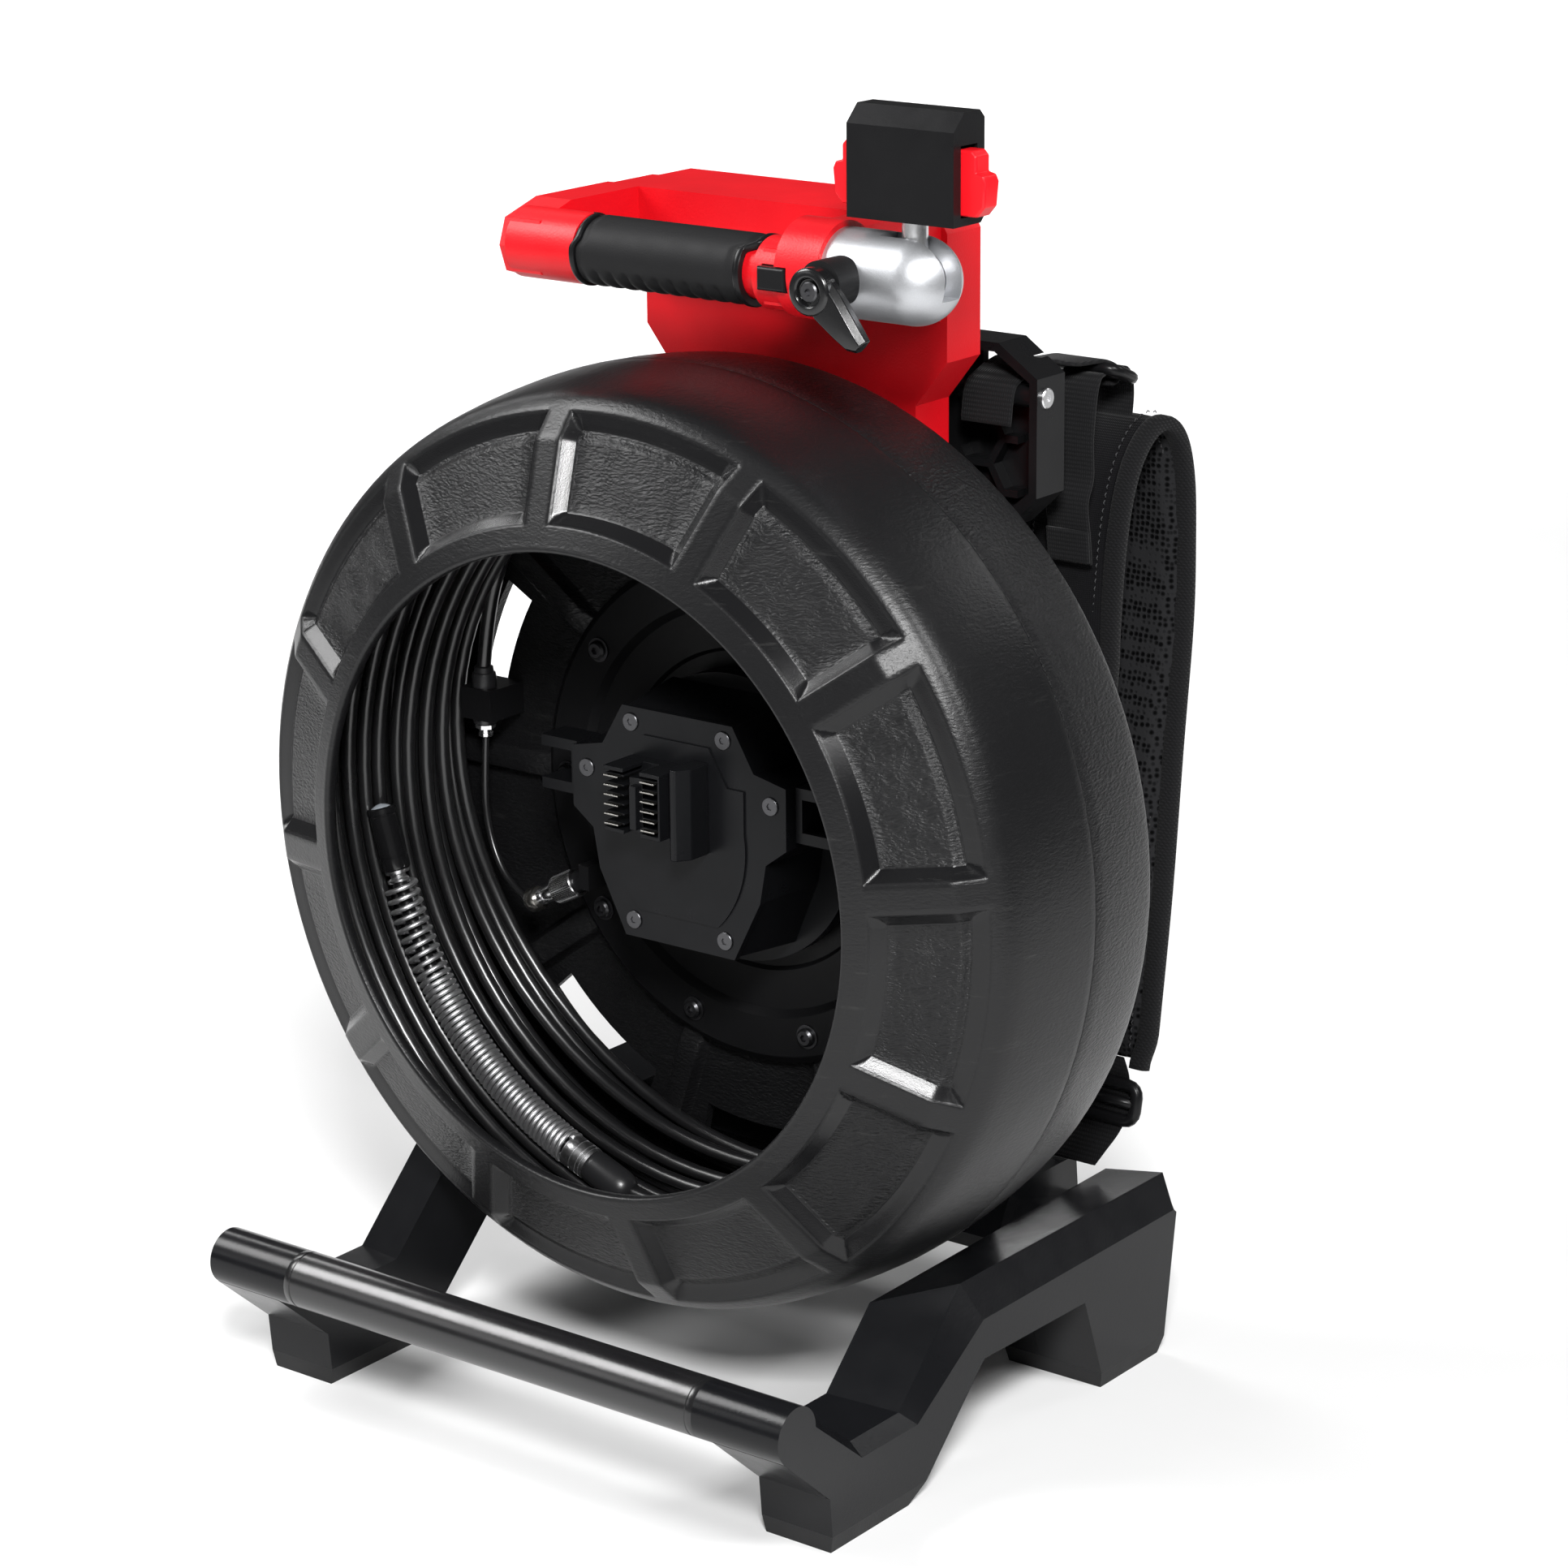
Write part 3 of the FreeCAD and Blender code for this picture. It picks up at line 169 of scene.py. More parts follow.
def normals_along(path):
    """Two normals at each point of a path, without twist."""
    normals = []
    side = None
    for index in range(len(path)):
        before = path[max(index - 1, 0)]
        after = path[min(index + 1, len(path) - 1)]
        run = (after - before).normalized()
        if side is None:
            side = run.orthogonal()
        side = (side - run * side.dot(run)).normalized()
        normals.append((side, run.cross(side)))
    return normals


def tube(path, radius, steps):
    """Rings of a round tube along a path."""
    rings = []
    for point, (side, across) in zip(path, normals_along(path)):
        ring = []
        for step in range(steps):
            turn = 2 * math.pi * step / steps
            ring.append(point + side * (radius * math.cos(turn)) + across * (radius * math.sin(turn)))
        rings.append(ring)
    return rings


def lathe(start, axis, profile, steps=48):
    """Rings of a body of revolution; the profile is (distance along the axis, radius)."""
    axis = Vector(axis).normalized()
    side = axis.orthogonal().normalized()
    across = axis.cross(side)
    turns = [2 * math.pi * step / steps for step in range(steps)]
    rings = []
    for along, radius in profile:
        centre = start + axis * (along * MM)
        reach = radius * MM
        rings.append([centre + (side * math.cos(t) + across * math.sin(t)) * reach for t in turns])
    return rings


def turned(name, start, axis, profile, paint, slot, node, sharp=35):
    """Turned piece on the drum that stands for one CAD node."""
    add_piece(name, solid_of_rings(lathe(start, axis, profile)), paint, "drum", slot, node, sharp=sharp)


# ---- materials


class Paint:
    """A node material with one Principled shader, built up by a few calls."""

    def __init__(self, name, colour, roughness, metallic=0.0, specular=0.25):
        self.material = bpy.data.materials.new(name)
        self.material.use_nodes = True
        self.tree = self.material.node_tree
        self.tree.nodes.clear()
        self.height = None
        self.shader = self.add("ShaderNodeBsdfPrincipled")
        self.add("ShaderNodeOutputMaterial", {"Surface": self.shader.outputs["BSDF"]})
        self.shade({"Base Color": (*colour, 1), "Roughness": roughness})
        self.shade({"Metallic": metallic, "Specular IOR Level": specular})

    def fill(self, node, inputs):
        """Gives a node's sockets plain values or links from other nodes."""
        for key, value in inputs.items():
            if isinstance(value, bpy.types.NodeSocket):
                self.tree.links.new(value, node.inputs[key])
            else:
                node.inputs[key].default_value = value

    def add(self, kind, inputs=None, **settings):
        node = self.tree.nodes.new(kind)
        for key, value in settings.items():
            setattr(node, key, value)
        self.fill(node, inputs or {})
        return node

    def shade(self, inputs):
        self.fill(self.shader, inputs)

    def where(self, stretch=(1, 1, 1)):
        """Position on the object in metres, stretched for directional textures."""
        place_in = self.add("ShaderNodeTexCoord").outputs["Object"]
        return self.add("ShaderNodeMapping", {"Vector": place_in, "Scale": stretch}).outputs["Vector"]

    def noise(self, scale, detail, rough=0.5, stretch=(1, 1, 1), vector=None):
        inputs = {"Vector": vector or self.where(stretch), "Scale": scale}
        inputs |= {"Detail": detail, "Roughness": rough}
        return self.add("ShaderNodeTexNoise", inputs).outputs["Fac"]

    def spread(self, value, low, high, out_low=0.0, out_high=1.0):
        inputs = {"Value": value, 1: low, 2: high, 3: out_low, 4: out_high}
        return self.add("ShaderNodeMapRange", inputs).outputs["Result"]

    def math(self, operation, a, b):
        return self.add("ShaderNodeMath", {0: a, 1: b}, operation=operation).outputs["Value"]

    def tint(self, factor, low, high):
        """Base colour between two tones."""
        mix = self.add("ShaderNodeMix", data_type="RGBA")
        self.fill(mix, {0: factor, 6: (*low, 1), 7: (*high, 1)})
        self.shade({"Base Color": mix.outputs[2]})

    def rough(self, factor, low, high):
        self.shade({"Roughness": self.spread(factor, 0, 1, low, high)})

    def relief(self, height, depth):
        """Adds a height, in metres for 0 to 1, to the surface's bump."""
        scaled = self.math("MULTIPLY", height, depth)
        self.height = scaled if self.height is None else self.math("ADD", self.height, scaled)

    def done(self):
        if self.height is not None:
            bump = self.add("ShaderNodeBump", {"Height": self.height, "Distance": 1.0, "Strength": 1.0})
            self.shade({"Normal": bump.outputs["Normal"]})
        return self.material


def moulded(name, colour, roughness, grain, depth, **settings):
    """Plastic with a fine moulded texture, faint colour drift and uneven gloss."""
    paint = Paint(name, colour, roughness, **settings)
    drift = paint.noise(14, 4)
    fine = paint.noise(grain, 2)
    light = tuple(min(1, c * 1.3 + 0.001) for c in colour)
    dark = tuple(c * 0.85 for c in colour)
    paint.tint(drift, dark, light)
    paint.rough(paint.noise(60, 3), roughness - 0.07, roughness + 0.07)
    paint.relief(fine, depth)
    return paint.done()


def brushed(name, colour, roughness, stretch=(1, 1, 1), scale=700, depth=0.00002, metallic=1.0):
    """Metal with fine lines, or grains where the stretch is even."""
    paint = Paint(name, colour, roughness, metallic=metallic)
    lines = paint.noise(scale, 3, 0.6, stretch)
    paint.tint(lines, tuple(c * 0.85 for c in colour), tuple(min(1, c * 1.1) for c in colour))
    paint.rough(lines, roughness - 0.08, roughness + 0.1)
    paint.relief(lines, depth)
    return paint.done()


def leather_plastic():
    """Drum shell: rotationally moulded black plastic with a leathery grain and a few scuffs."""
    paint = Paint("drum_grain", (0.006, 0.006, 0.0065), 0.37, specular=0.3)
    bent = paint.noise(55, 2)
    shift = paint.add("ShaderNodeCombineXYZ", {"X": bent, "Y": bent, "Z": bent}).outputs["Vector"]
    small = paint.add("ShaderNodeVectorMath", {0: shift, "Scale": 0.012}, operation="SCALE")
    both = {0: paint.where((1, 1, 2.4)), 1: small.outputs["Vector"]}
    warp = paint.add("ShaderNodeVectorMath", both, operation="ADD").outputs["Vector"]
    inputs = {"Vector": warp, "Scale": 330.0, "Randomness": 1.0}
    wrinkle = paint.add("ShaderNodeTexVoronoi", inputs, feature="SMOOTH_F1").outputs["Distance"]
    grain = paint.noise(520, 3, 0.6, vector=warp)
    amount = paint.add("ShaderNodeAttribute", attribute_name="grain").outputs["Fac"]
    grainy = paint.math("MULTIPLY", paint.math("ADD", wrinkle, grain), amount)
    scuff = paint.spread(paint.noise(26, 6, 0.75, (1, 1, 9)), 0.60, 0.72)
    paint.relief(grainy, 0.00048)
    paint.relief(paint.noise(1400, 2), 0.00005)
    paint.relief(paint.noise(60, 3), 0.0001)
    worn_away = paint.math("MULTIPLY", scuff, paint.noise(300, 2))
    paint.tint(worn_away, (0.006, 0.006, 0.0065), (0.026, 0.026, 0.0255))
    worn = paint.spread(paint.noise(35, 4), 0, 1, 0.31, 0.38)
    smoother = paint.spread(amount, 0.0, 0.2, 0.66, 1.0)
    paint.shade({"Roughness": paint.math("MULTIPLY", worn, smoother)})
    return paint.done()


def woven(name, colour, pitch, depth, lines=(1, 1, 1), across="X"):
    """Fabric with a fine over-and-under weave: threads along Z and the ones that cross them."""
    paint = Paint(name, colour, 0.85, specular=0.0)
    paint.shade({"Sheen Weight": 0.06, "Sheen Roughness": 0.5})
    inputs = {"Vector": paint.where(lines), "Scale": 1 / pitch / 3.2, "Distortion": 0.4, "Detail": 1.0}
    warp = paint.add("ShaderNodeTexWave", inputs, bands_direction=across).outputs["Fac"]
    weft = paint.add("ShaderNodeTexWave", inputs, bands_direction="Z").outputs["Fac"]
    cloth = paint.math("MULTIPLY", warp, weft)
    fuzz = paint.noise(2600, 2)
    uneven = paint.math("ADD", cloth, fuzz)
    paint.tint(uneven, tuple(c * 0.6 for c in colour), tuple(c * 1.5 for c in colour))
    paint.relief(cloth, depth)
    paint.relief(fuzz, 0.00008)
    return paint.done()


def spacer_mesh(name, colour):
    """Open knitted mesh in a matt fabric: rows of small holes, with painted shade darkening the holes."""
    paint = Paint(name, colour, 0.9, specular=0.0)
    inputs = {"Vector": paint.where(), "Scale": 300.0, "Randomness": 0.3}
    cells = paint.add("ShaderNodeTexVoronoi", inputs).outputs["Distance"]
    rim = paint.spread(cells, 0.2, 0.5)
    # Painted shade: the holes are tinted far darker than the threads; the same mask also sinks the holes
    # as bump.
    paint.tint(rim, tuple(c * 0.25 for c in colour), tuple(c * 1.8 for c in colour))
    paint.relief(rim, 0.0009)
    paint.relief(paint.noise(2600, 2), 0.0001)
    return paint.done()


def make_paints():
    paints = {
        "drum": leather_plastic(),
        "stand": moulded("stand_black", (0.005, 0.0052, 0.006), 0.22, 500, 0.00003, specular=0.2),
        "inner": moulded("inner_black", (0.005, 0.005, 0.0055), 0.4, 450, 0.00006, specular=0.15),
        "hub": moulded("hub_black", (0.005, 0.0052, 0.006), 0.3, 900, 0.00002, specular=0.13),
        "trim": moulded("trim_black", (0.005, 0.005, 0.0055), 0.3, 700, 0.00003, specular=0.2),
        "rubber": moulded("grip_rubber", (0.008, 0.008, 0.0085), 0.55, 1400, 0.00008, specular=0.15),
        "foot": moulded("foot_rubber", (0.013, 0.013, 0.0135), 0.6, 900, 0.0001),
        "red": moulded("housing_red", (0.56, 0.003, 0.008), 0.4, 900, 0.0001),
        "red_latch": moulded("latch_red", (0.68, 0.006, 0.012), 0.34, 900, 0.00003),
        "jacket": moulded("cable_jacket", (0.007, 0.007, 0.0075), 0.3, 300, 0.00002, specular=0.75),
        "boot": moulded("boot_black", (0.013, 0.013, 0.014), 0.34, 900, 0.00003, specular=0.6),
        "gloss": moulded("gloss_black", (0.006, 0.006, 0.0065), 0.2, 500, 0.00002, specular=0.5),
        "bar": moulded("bar_black", (0.007, 0.007, 0.0075), 0.24, 500, 0.00003, specular=0.6),
        "steel": brushed("spring_steel", (0.8, 0.8, 0.81), 0.42),
        "dark_steel": brushed("screw_steel", (0.1, 0.1, 0.105), 0.36),
        "bright_steel": brushed("bright_steel", (0.8, 0.8, 0.81), 0.3),
        "axle": brushed("turned_steel", (0.55, 0.55, 0.57), 0.3, (1, 40, 1)),
        "chrome": brushed("chrome", (0.85, 0.85, 0.86), 0.2, depth=0.000005),
        "contact": brushed("contact_metal", (0.32, 0.31, 0.29), 0.3),
        "aluminium": brushed(
            "cast_aluminium", (0.5, 0.51, 0.53), 0.42, scale=1500, depth=0.00007, metallic=0.85
        ),
        "mesh": spacer_mesh("spacer_mesh", (0.009, 0.009, 0.0095)),
        "binding": woven("binding_tape", (0.009, 0.009, 0.0095), 0.0016, 0.0004, across="DIAGONAL"),
        "fabric": woven("pad_fabric", (0.005, 0.005, 0.0055), 0.0011, 0.00025),
        "thread": moulded("thread", (0.045, 0.045, 0.047), 0.6, 2500, 0.00005),
        "webbing": woven("webbing", (0.009, 0.009, 0.0095), 0.0014, 0.0003, (1, 1, 0.6)),
    }
    glass = Paint("lens_glass", (0.75, 0.82, 0.9), 0.03)
    glass.shade({"Transmission Weight": 0.6})
    paints["glass"] = glass.done()
    return paints


PAINT = make_paints()

# Materials and edge widths of the CAD nodes that stay.
PLAIN = {
    "stand": "rail_left rail_right rear_cross_member back_upright",
    "foot": "foot_pads_front foot_pads_rear",
    "inner": "hub_ring cable_clamp slip_ring_socket",
    "dark_steel": "ring_screws hub_screws lever_screw",
    "bright_steel": "rod_screws ball_stud",
    "axle": "axle bearing_ring",
    "hub": "hub_tower guide_arms hub_plate cover_insert",
    "red": "housing",
    "trim": "push_button mount_block strap_rods strap_bracket bracket_honeycomb",
    "rubber": "lever_sleeve",
    "aluminium": "mount_socket",
}
EDGES = {
    0.0022: "rail_left rail_right rear_cross_member back_upright foot_pads_front foot_pads_rear",
    0.0025: "housing",
    0.0012: "mount_block strap_bracket strap_rods",
    0.0006: "hub_plate cover_insert guide_arms push_button cable_clamp hub_tower bracket_honeycomb",
    0.0008: "hub_ring slip_ring_socket mount_socket",
}


def finish_nodes():
    for width, names in EDGES.items():
        for name in names.split():
            bevel(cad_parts[name], width)
    for key, names in PLAIN.items():
        for name in names.split():
            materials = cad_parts[name].data.materials
            materials.clear()
            materials.append(PAINT[key])


# ---- cords

# Diameters of the push cable and the signal lead.
CABLE = 0.008
LEAD = 0.004
# The camera and its spring lie on a circle round the drum's axis, from one angle to another.
HEAD_LINE = 0.2085
HEAD_DEPTH = 0.122
HEAD_START = -163.0
SPRING_END = -112.0
# Lengths of the two pieces past the spring.
FERRULE = 0.016
BOOT = 0.03
LEAD_IN = (
    (-0.178, 0.174, 0.366),
    (-0.175, 0.175, 0.396),
    (-0.166, 0.177, 0.428),
    (-0.147, 0.180, 0.465),
    (-0.117, 0.181, 0.501),
)
TAIL = (
    (0.095, 0.136, 0.1075),
    (0.062, 0.132, 0.1005),
    (0.028, 0.128, 0.0965),
    (-0.004, 0.125, 0.098),
)
SIGNAL_ROUTE = (
    (-0.178, 0.174, 0.325),
    (-0.179, 0.1735, 0.304),
    (-0.178, 0.172, 0.281),
    (-0.171, 0.170, 0.260),
    (-0.158, 0.167, 0.244),
    (-0.141, 0.165, 0.2365),
)


def head_line(angle):
    return on_drum(HEAD_LINE, angle, HEAD_DEPTH)


def past_spring(distance):
    """Point on the straight line that the ferrule and the boot lie on."""
    turn = math.radians(SPRING_END)
    run = Vector((-math.sin(turn), 0, math.cos(turn)))
    return head_line(SPRING_END) + run * distance


def coil_points():
    """Turns of the push cable inside the drum, from the lead-in round to the tail."""
    per_turn = 16
    first_angle, last_angle = 121.4, -64.8
    turns = 24 + (first_angle - last_angle) / 360
    outward = 1 / math.cos(math.pi / per_turn)
    # Outer layers as one sweep, then the inner layer that shows: turns so far, depth, radius.
    inner_layer = 12.4
    stages = (
        (0.0, 0.181, 0.2265),
        (0.5, 0.187, 0.2375),
        (11.8, 0.0965, 0.2375),
        (inner_layer, 0.0975, 0.2295),
        (20.4, 0.1770, 0.2080),
        (21.0, 0.1720, 0.2005),
        (turns - 0.4, 0.1400, 0.2085),
        (turns, 0.1385, 0.2225),
    )
    points = []
    for index in range(1, int(turns * per_turn)):
        turn = index / per_turn
        for (t0, y0, r0), (t1, y1, r1) in zip(stages, stages[1:]):
            if turn <= t1:
                break
        share = (turn - t0) / (t1 - t0)
        y = y0 + (y1 - y0) * share
        radius = r0 + (r1 - r0) * share
        angle = first_angle - 360 * turn
        if turn > inner_layer:
            y += 0.0011 * math.sin(turn * 2.3) + 0.0008 * math.sin(turn * 7.1)
            lean = smooth_step(turn, 17.5, 20.4) * (1 - smooth_step(turn, 21.2, 22.2))
            low = max(0, math.cos(math.radians(angle - 240))) ** 2
            radius -= 0.009 * lean * low
            y += 0.013 * lean * low
        points.append(on_drum(radius * outward, angle, y))
    return points


def push_cable_route():
    """Clamp, lead-in, coil, tail, boot, and on through the spring to the camera head."""
    boot = [past_spring(FERRULE + BOOT), past_spring(FERRULE), past_spring(0)]
    steps = 8
    arc = HEAD_START - SPRING_END
    inside = [head_line(SPRING_END + arc * step / steps) for step in range(1, steps + 1)]
    return spots(LEAD_IN) + coil_points() + spots(TAIL) + boot + inside


def nurbs_cord(name, route, diameter, resolution):
    data = bpy.data.curves.new(name, "CURVE")
    data.dimensions = "3D"
    spline = data.splines.new("NURBS")
    spline.points.add(len(route) - 1)
    for point, place_at in zip(spline.points, route):
        point.co = (*place_at, 1)
    spline.order_u = 3
    spline.use_endpoint_u = True
    spline.resolution_u = resolution
    data.bevel_depth = diameter / 2
    data.bevel_resolution = 3
    data.use_fill_caps = True
    data.materials.append(PAINT["jacket"])
    obj = bpy.data.objects.new(name, data)
    bpy.context.scene.collection.objects.link(obj)
    return obj


def add_cords():
    cable = nurbs_cord("push_cable", push_cable_route(), CABLE, 5)
    place(cable, "drum", "cable_jacket", "cable_coil", "cable_tail", "cable_lead_in")
    route = spots(SIGNAL_ROUTE)
    lead = nurbs_cord("signal_wire", route, LEAD, 12)
    place(lead, "drum", "cable_jacket", "signal_lead")


# ---- drum

# Front shell: twelve ribs from the angle of the first, and the pockets between them.
RIBS = 12
FIRST_RIB = 7.1
RIB_HALF = 0.00715
WALL = 0.0088
POCKET_DEPTH = 0.008
# The pockets sink straight back on the cone, and partly inwards on the shoulder past this radius.
SHOULDER = 0.221
SHOULDER_WIDTH = 0.013
# How far down a pocket's wall is, over its width.
RAMP = ((0.02, 0.0), (0.09, 0.05), (0.2, 0.18), (0.5, 0.5), (0.8, 0.82), (0.91, 0.95), (0.98, 1.0))


def cone_y(radius):
    """Depth of the drum's front face at a radius: a shallow cone, then a steep shoulder."""
    if radius < 0.227:
        return 0.0365 + (radius - 0.1732) * 0.407
    return 0.0584 + (radius - 0.227) * 0.983


def front_profile():
    """Rows of the front shell: radius, depth and how far the row lies down a pocket's wall."""
    lip = [(0.1712, 0.0425), (0.1711, 0.0398), (0.1715, 0.0377), (0.1726, 0.0366), (0.1738, 0.0367)]
    lip.append((0.1752, 0.0374))
    rows = [(r, y, 0) for r, y in lip]
    rows += [(r, cone_y(r), 0) for r in (0.1775, 0.181, 0.184)]
    rows += [(0.1845 + 0.0070 * t, cone_y(0.1845 + 0.0070 * t), share) for t, share in RAMP]
    floor = (0.195, 0.201, 0.208, 0.215, 0.221, 0.2245, 0.2262, 0.2278, 0.2300)
    rows += [(r, cone_y(r), 1) for r in floor]
    rows += [(0.2318 + 0.0080 * t, cone_y(0.2318 + 0.0080 * t), 1 - share) for t, share in RAMP]
    rows += [(r, cone_y(r), 0) for r in (0.2415, 0.2436)]
    rim = [(0.2452, 0.0770), (0.2466, 0.0800), (0.2481, 0.0860), (0.2495, 0.0940), (0.2507, 0.1020)]
    rim += [(0.2516, 0.1090), (0.2525, 0.1180), (0.2533, 0.1270), (0.2538, 0.1350), (0.2540, 0.1393)]
    rim += [(0.2538, 0.1401), (0.2528, 0.1403)]
    inside = [(0.2490, 0.1403), (0.2465, 0.1080), (0.2421, 0.0877), (0.2270, 0.0744), (0.1762, 0.0485)]
    return rows + [(r, y, 0) for r, y in rim + inside]


def pocket_turns(radius, offsets, middle):
    """Angles from one rib's middle to the next, at offsets in metres and evenly between them."""
    period = 2 * math.pi / RIBS
    first = [math.asin(offset / radius) for offset in offsets]
    start, end = first[-1], period - first[-1]
    inner = [start + (end - start) * (k + 1) / (middle + 1) for k in range(middle)]
    return first + inner + [period - a for a in reversed(first[1:])]


def grain_layer(obj, values):
    """Amount of leather grain at each point, which the drum's material reads."""
    layer = obj.data.attributes.new("grain", "FLOAT", "POINT")
    layer.data.foreach_set("value", values)


def pocket_grain(sunk):
    """Full grain on the pocket floors, none on their walls and a little elsewhere."""
    if sunk > 0.9:
        return 1.0
    return 0.0 if sunk > 0.1 else 0.22


def add_front_shell():
    near = [(0.0, 0), (0.0045, 0)] + [(RIB_HALF + WALL * t, share) for t, share in RAMP]
    offsets = [offset for offset, _ in near]
    middle = 8
    shares = [s for _, s in near] + [1] * middle + [s for _, s in reversed(near[1:])]
    rows = front_profile()
    points, grain = [], []
    for radius, y, row_share in rows:
        turns = pocket_turns(radius, offsets, middle)
        blend = min(1, max(0, (radius - SHOULDER) / SHOULDER_WIDTH))
        for rib in range(RIBS):
            base = math.radians(FIRST_RIB + 360 / RIBS * rib)
            for turn, share in zip(turns, shares):
                sunk = min(row_share, share)
                deep = sunk * POCKET_DEPTH
                angle = math.degrees(base + turn)
                points.append(on_drum(radius - deep * 0.7 * blend, angle, y + deep * (1 - 0.3 * blend)))
                grain.append(pocket_grain(sunk))
    faces = sheet_faces(len(rows), len(points) // len(rows), close_rows=True, close_columns=True)
    shell = add_piece("drum_front", (points, faces), "drum", "drum", "drum_plastic", "drum_front_shell")
    grain_layer(shell, grain)


# Back wall: bays from the top round, of which one is closed; half a window's angle in degrees,
# and a spoke's height over the distance from its middle.
WINDOWS = 10
CLOSED_BAY = 3
WINDOW_HALF = 12.0
SLOT_STEPS = 8
SPOKE_HEIGHT = 0.007
SPOKE = ((0.0, 1.0), (0.0050, 1.0), (0.0066, 0.9), (0.0078, 0.55), (0.0092, 0.12), (0.0102, 0.0))


def add_rear_shell():
    """Tread, rounded edge and the back wall with its slot windows and rounded spokes."""
    tread = [(0.2490, 0.1403), (0.2530, 0.1403), (0.2537, 0.1405), (0.2540, 0.1412), (0.2539, 0.150)]
    tread += [(0.2534, 0.160), (0.2527, 0.169), (0.2518, 0.178), (0.2507, 0.186), (0.2495, 0.1935)]
    tread += [(0.2486, 0.1972), (0.2480, 0.1990), (0.2468, 0.2002), (0.2445, 0.2006)]
    inward = [0.236, 0.226, 0.216, 0.2085, 0.203, 0.184, 0.178, 0.165, 0.150, 0.135, 0.122, 0.116]
    back = [(r, 0.2006) for r in inward]
    front = [(r, 0.1946) for r in reversed(inward)]
    rows = tread + back + front + [(0.2425, 0.1946), (0.2445, 0.1930), (0.2470, 0.1760)]
    first_back, first_front = len(tread), len(tread) + len(back)
    heights = [0.0] * (first_front + 3) + [1.0] * 7 + [0.35] + [0.0] * 4
    half = math.pi / WINDOWS
    reach = SLOT_STEPS // 2
    slot = [math.radians(WINDOW_HALF) * k / reach for k in range(-reach, reach + 1)]
    points = []
    for (radius, y), rise in zip(rows, heights):
        near = [math.asin(offset / radius) for offset, _ in SPOKE]
        turns = slot + [half - a for a in reversed(near[1:])] + [half] + [half + a for a in near[1:]]
        shares = [0] * len(slot) + [s for _, s in reversed(SPOKE)] + [s for _, s in SPOKE[1:]]
        for window in range(WINDOWS):
            base = math.pi / 2 + 2 * half * window
            for turn, share in zip(turns, shares):
                up = SPOKE_HEIGHT * rise * share
                points.append(on_drum(radius, math.degrees(base + turn), y - up))
    columns = len(points) // len(rows)
    period = columns // WINDOWS
    slot_row = inward.index(0.203)
    slot_rows = (first_back + slot_row, first_front + len(inward) - 2 - slot_row)

    def solid(i, j):
        return i not in slot_rows or j % period >= SLOT_STEPS or j // period == CLOSED_BAY

    faces = sheet_faces(len(rows), columns, close_rows=True, close_columns=True, keep=solid)
    outer_back, inner_back = slot_rows[0], slot_rows[0] + 1
    inner_front, outer_front = slot_rows[1], slot_rows[1] + 1
    corners = (outer_back, inner_back, inner_front, outer_front)
    for window in range(WINDOWS):
        if window == CLOSED_BAY:
            continue
        first, last = window * period, window * period + SLOT_STEPS
        for j in range(first, last):
            for i, k in ((outer_back, outer_front), (inner_back, inner_front)):
                faces.append((i * columns + j, i * columns + j + 1, k * columns + j + 1, k * columns + j))
        for j in (first, last):
            faces.append(tuple(i * columns + j for i in corners))
    shell = add_piece(
        "drum_rear", (points, faces), "drum", "drum", "drum_plastic", "drum_rear_shell", sharp=40
    )
    grain_layer(shell, [0.8] * len(points))


# ---- camera head

# Turns of wire in a metre, at shares of the way from the head to the ferrule.
HELIX = ((0.0, 1 / 0.0056), (0.27, 1 / 0.0056), (0.33, 1 / 0.00345), (1.0, 1 / 0.00345))
HELIX_RADIUS = 0.0087
WIRE_RADIUS = 0.0014


def add_spring():
    """Round steel wire wound round the camera line: open turns near the head, then close ones."""
    length = HEAD_LINE * math.radians(SPRING_END - HEAD_START)
    steps_per_turn = 18
    path = []
    phase, travelled = 0.0, 0.0
    while travelled < length:
        share = travelled / length
        for (a, low), (b, high) in zip(HELIX, HELIX[1:]):
            if share <= b:
                break
        density = low + (high - low) * (share - a) / (b - a)
        angle = math.radians(HEAD_START) + travelled / HEAD_LINE
        outward = Vector((math.cos(angle), 0, math.sin(angle)))
        around = outward * math.cos(phase) + Vector((0, 1, 0)) * math.sin(phase)
        path.append(head_line(math.degrees(angle)) + around * HELIX_RADIUS)
        phase += 2 * math.pi / steps_per_turn
        travelled += 1 / (density * steps_per_turn)
    skin = solid_of_rings(tube(path, WIRE_RADIUS, 8))
    add_piece("spring_turns", skin, "steel", "drum", "spring_steel", "camera_spring")


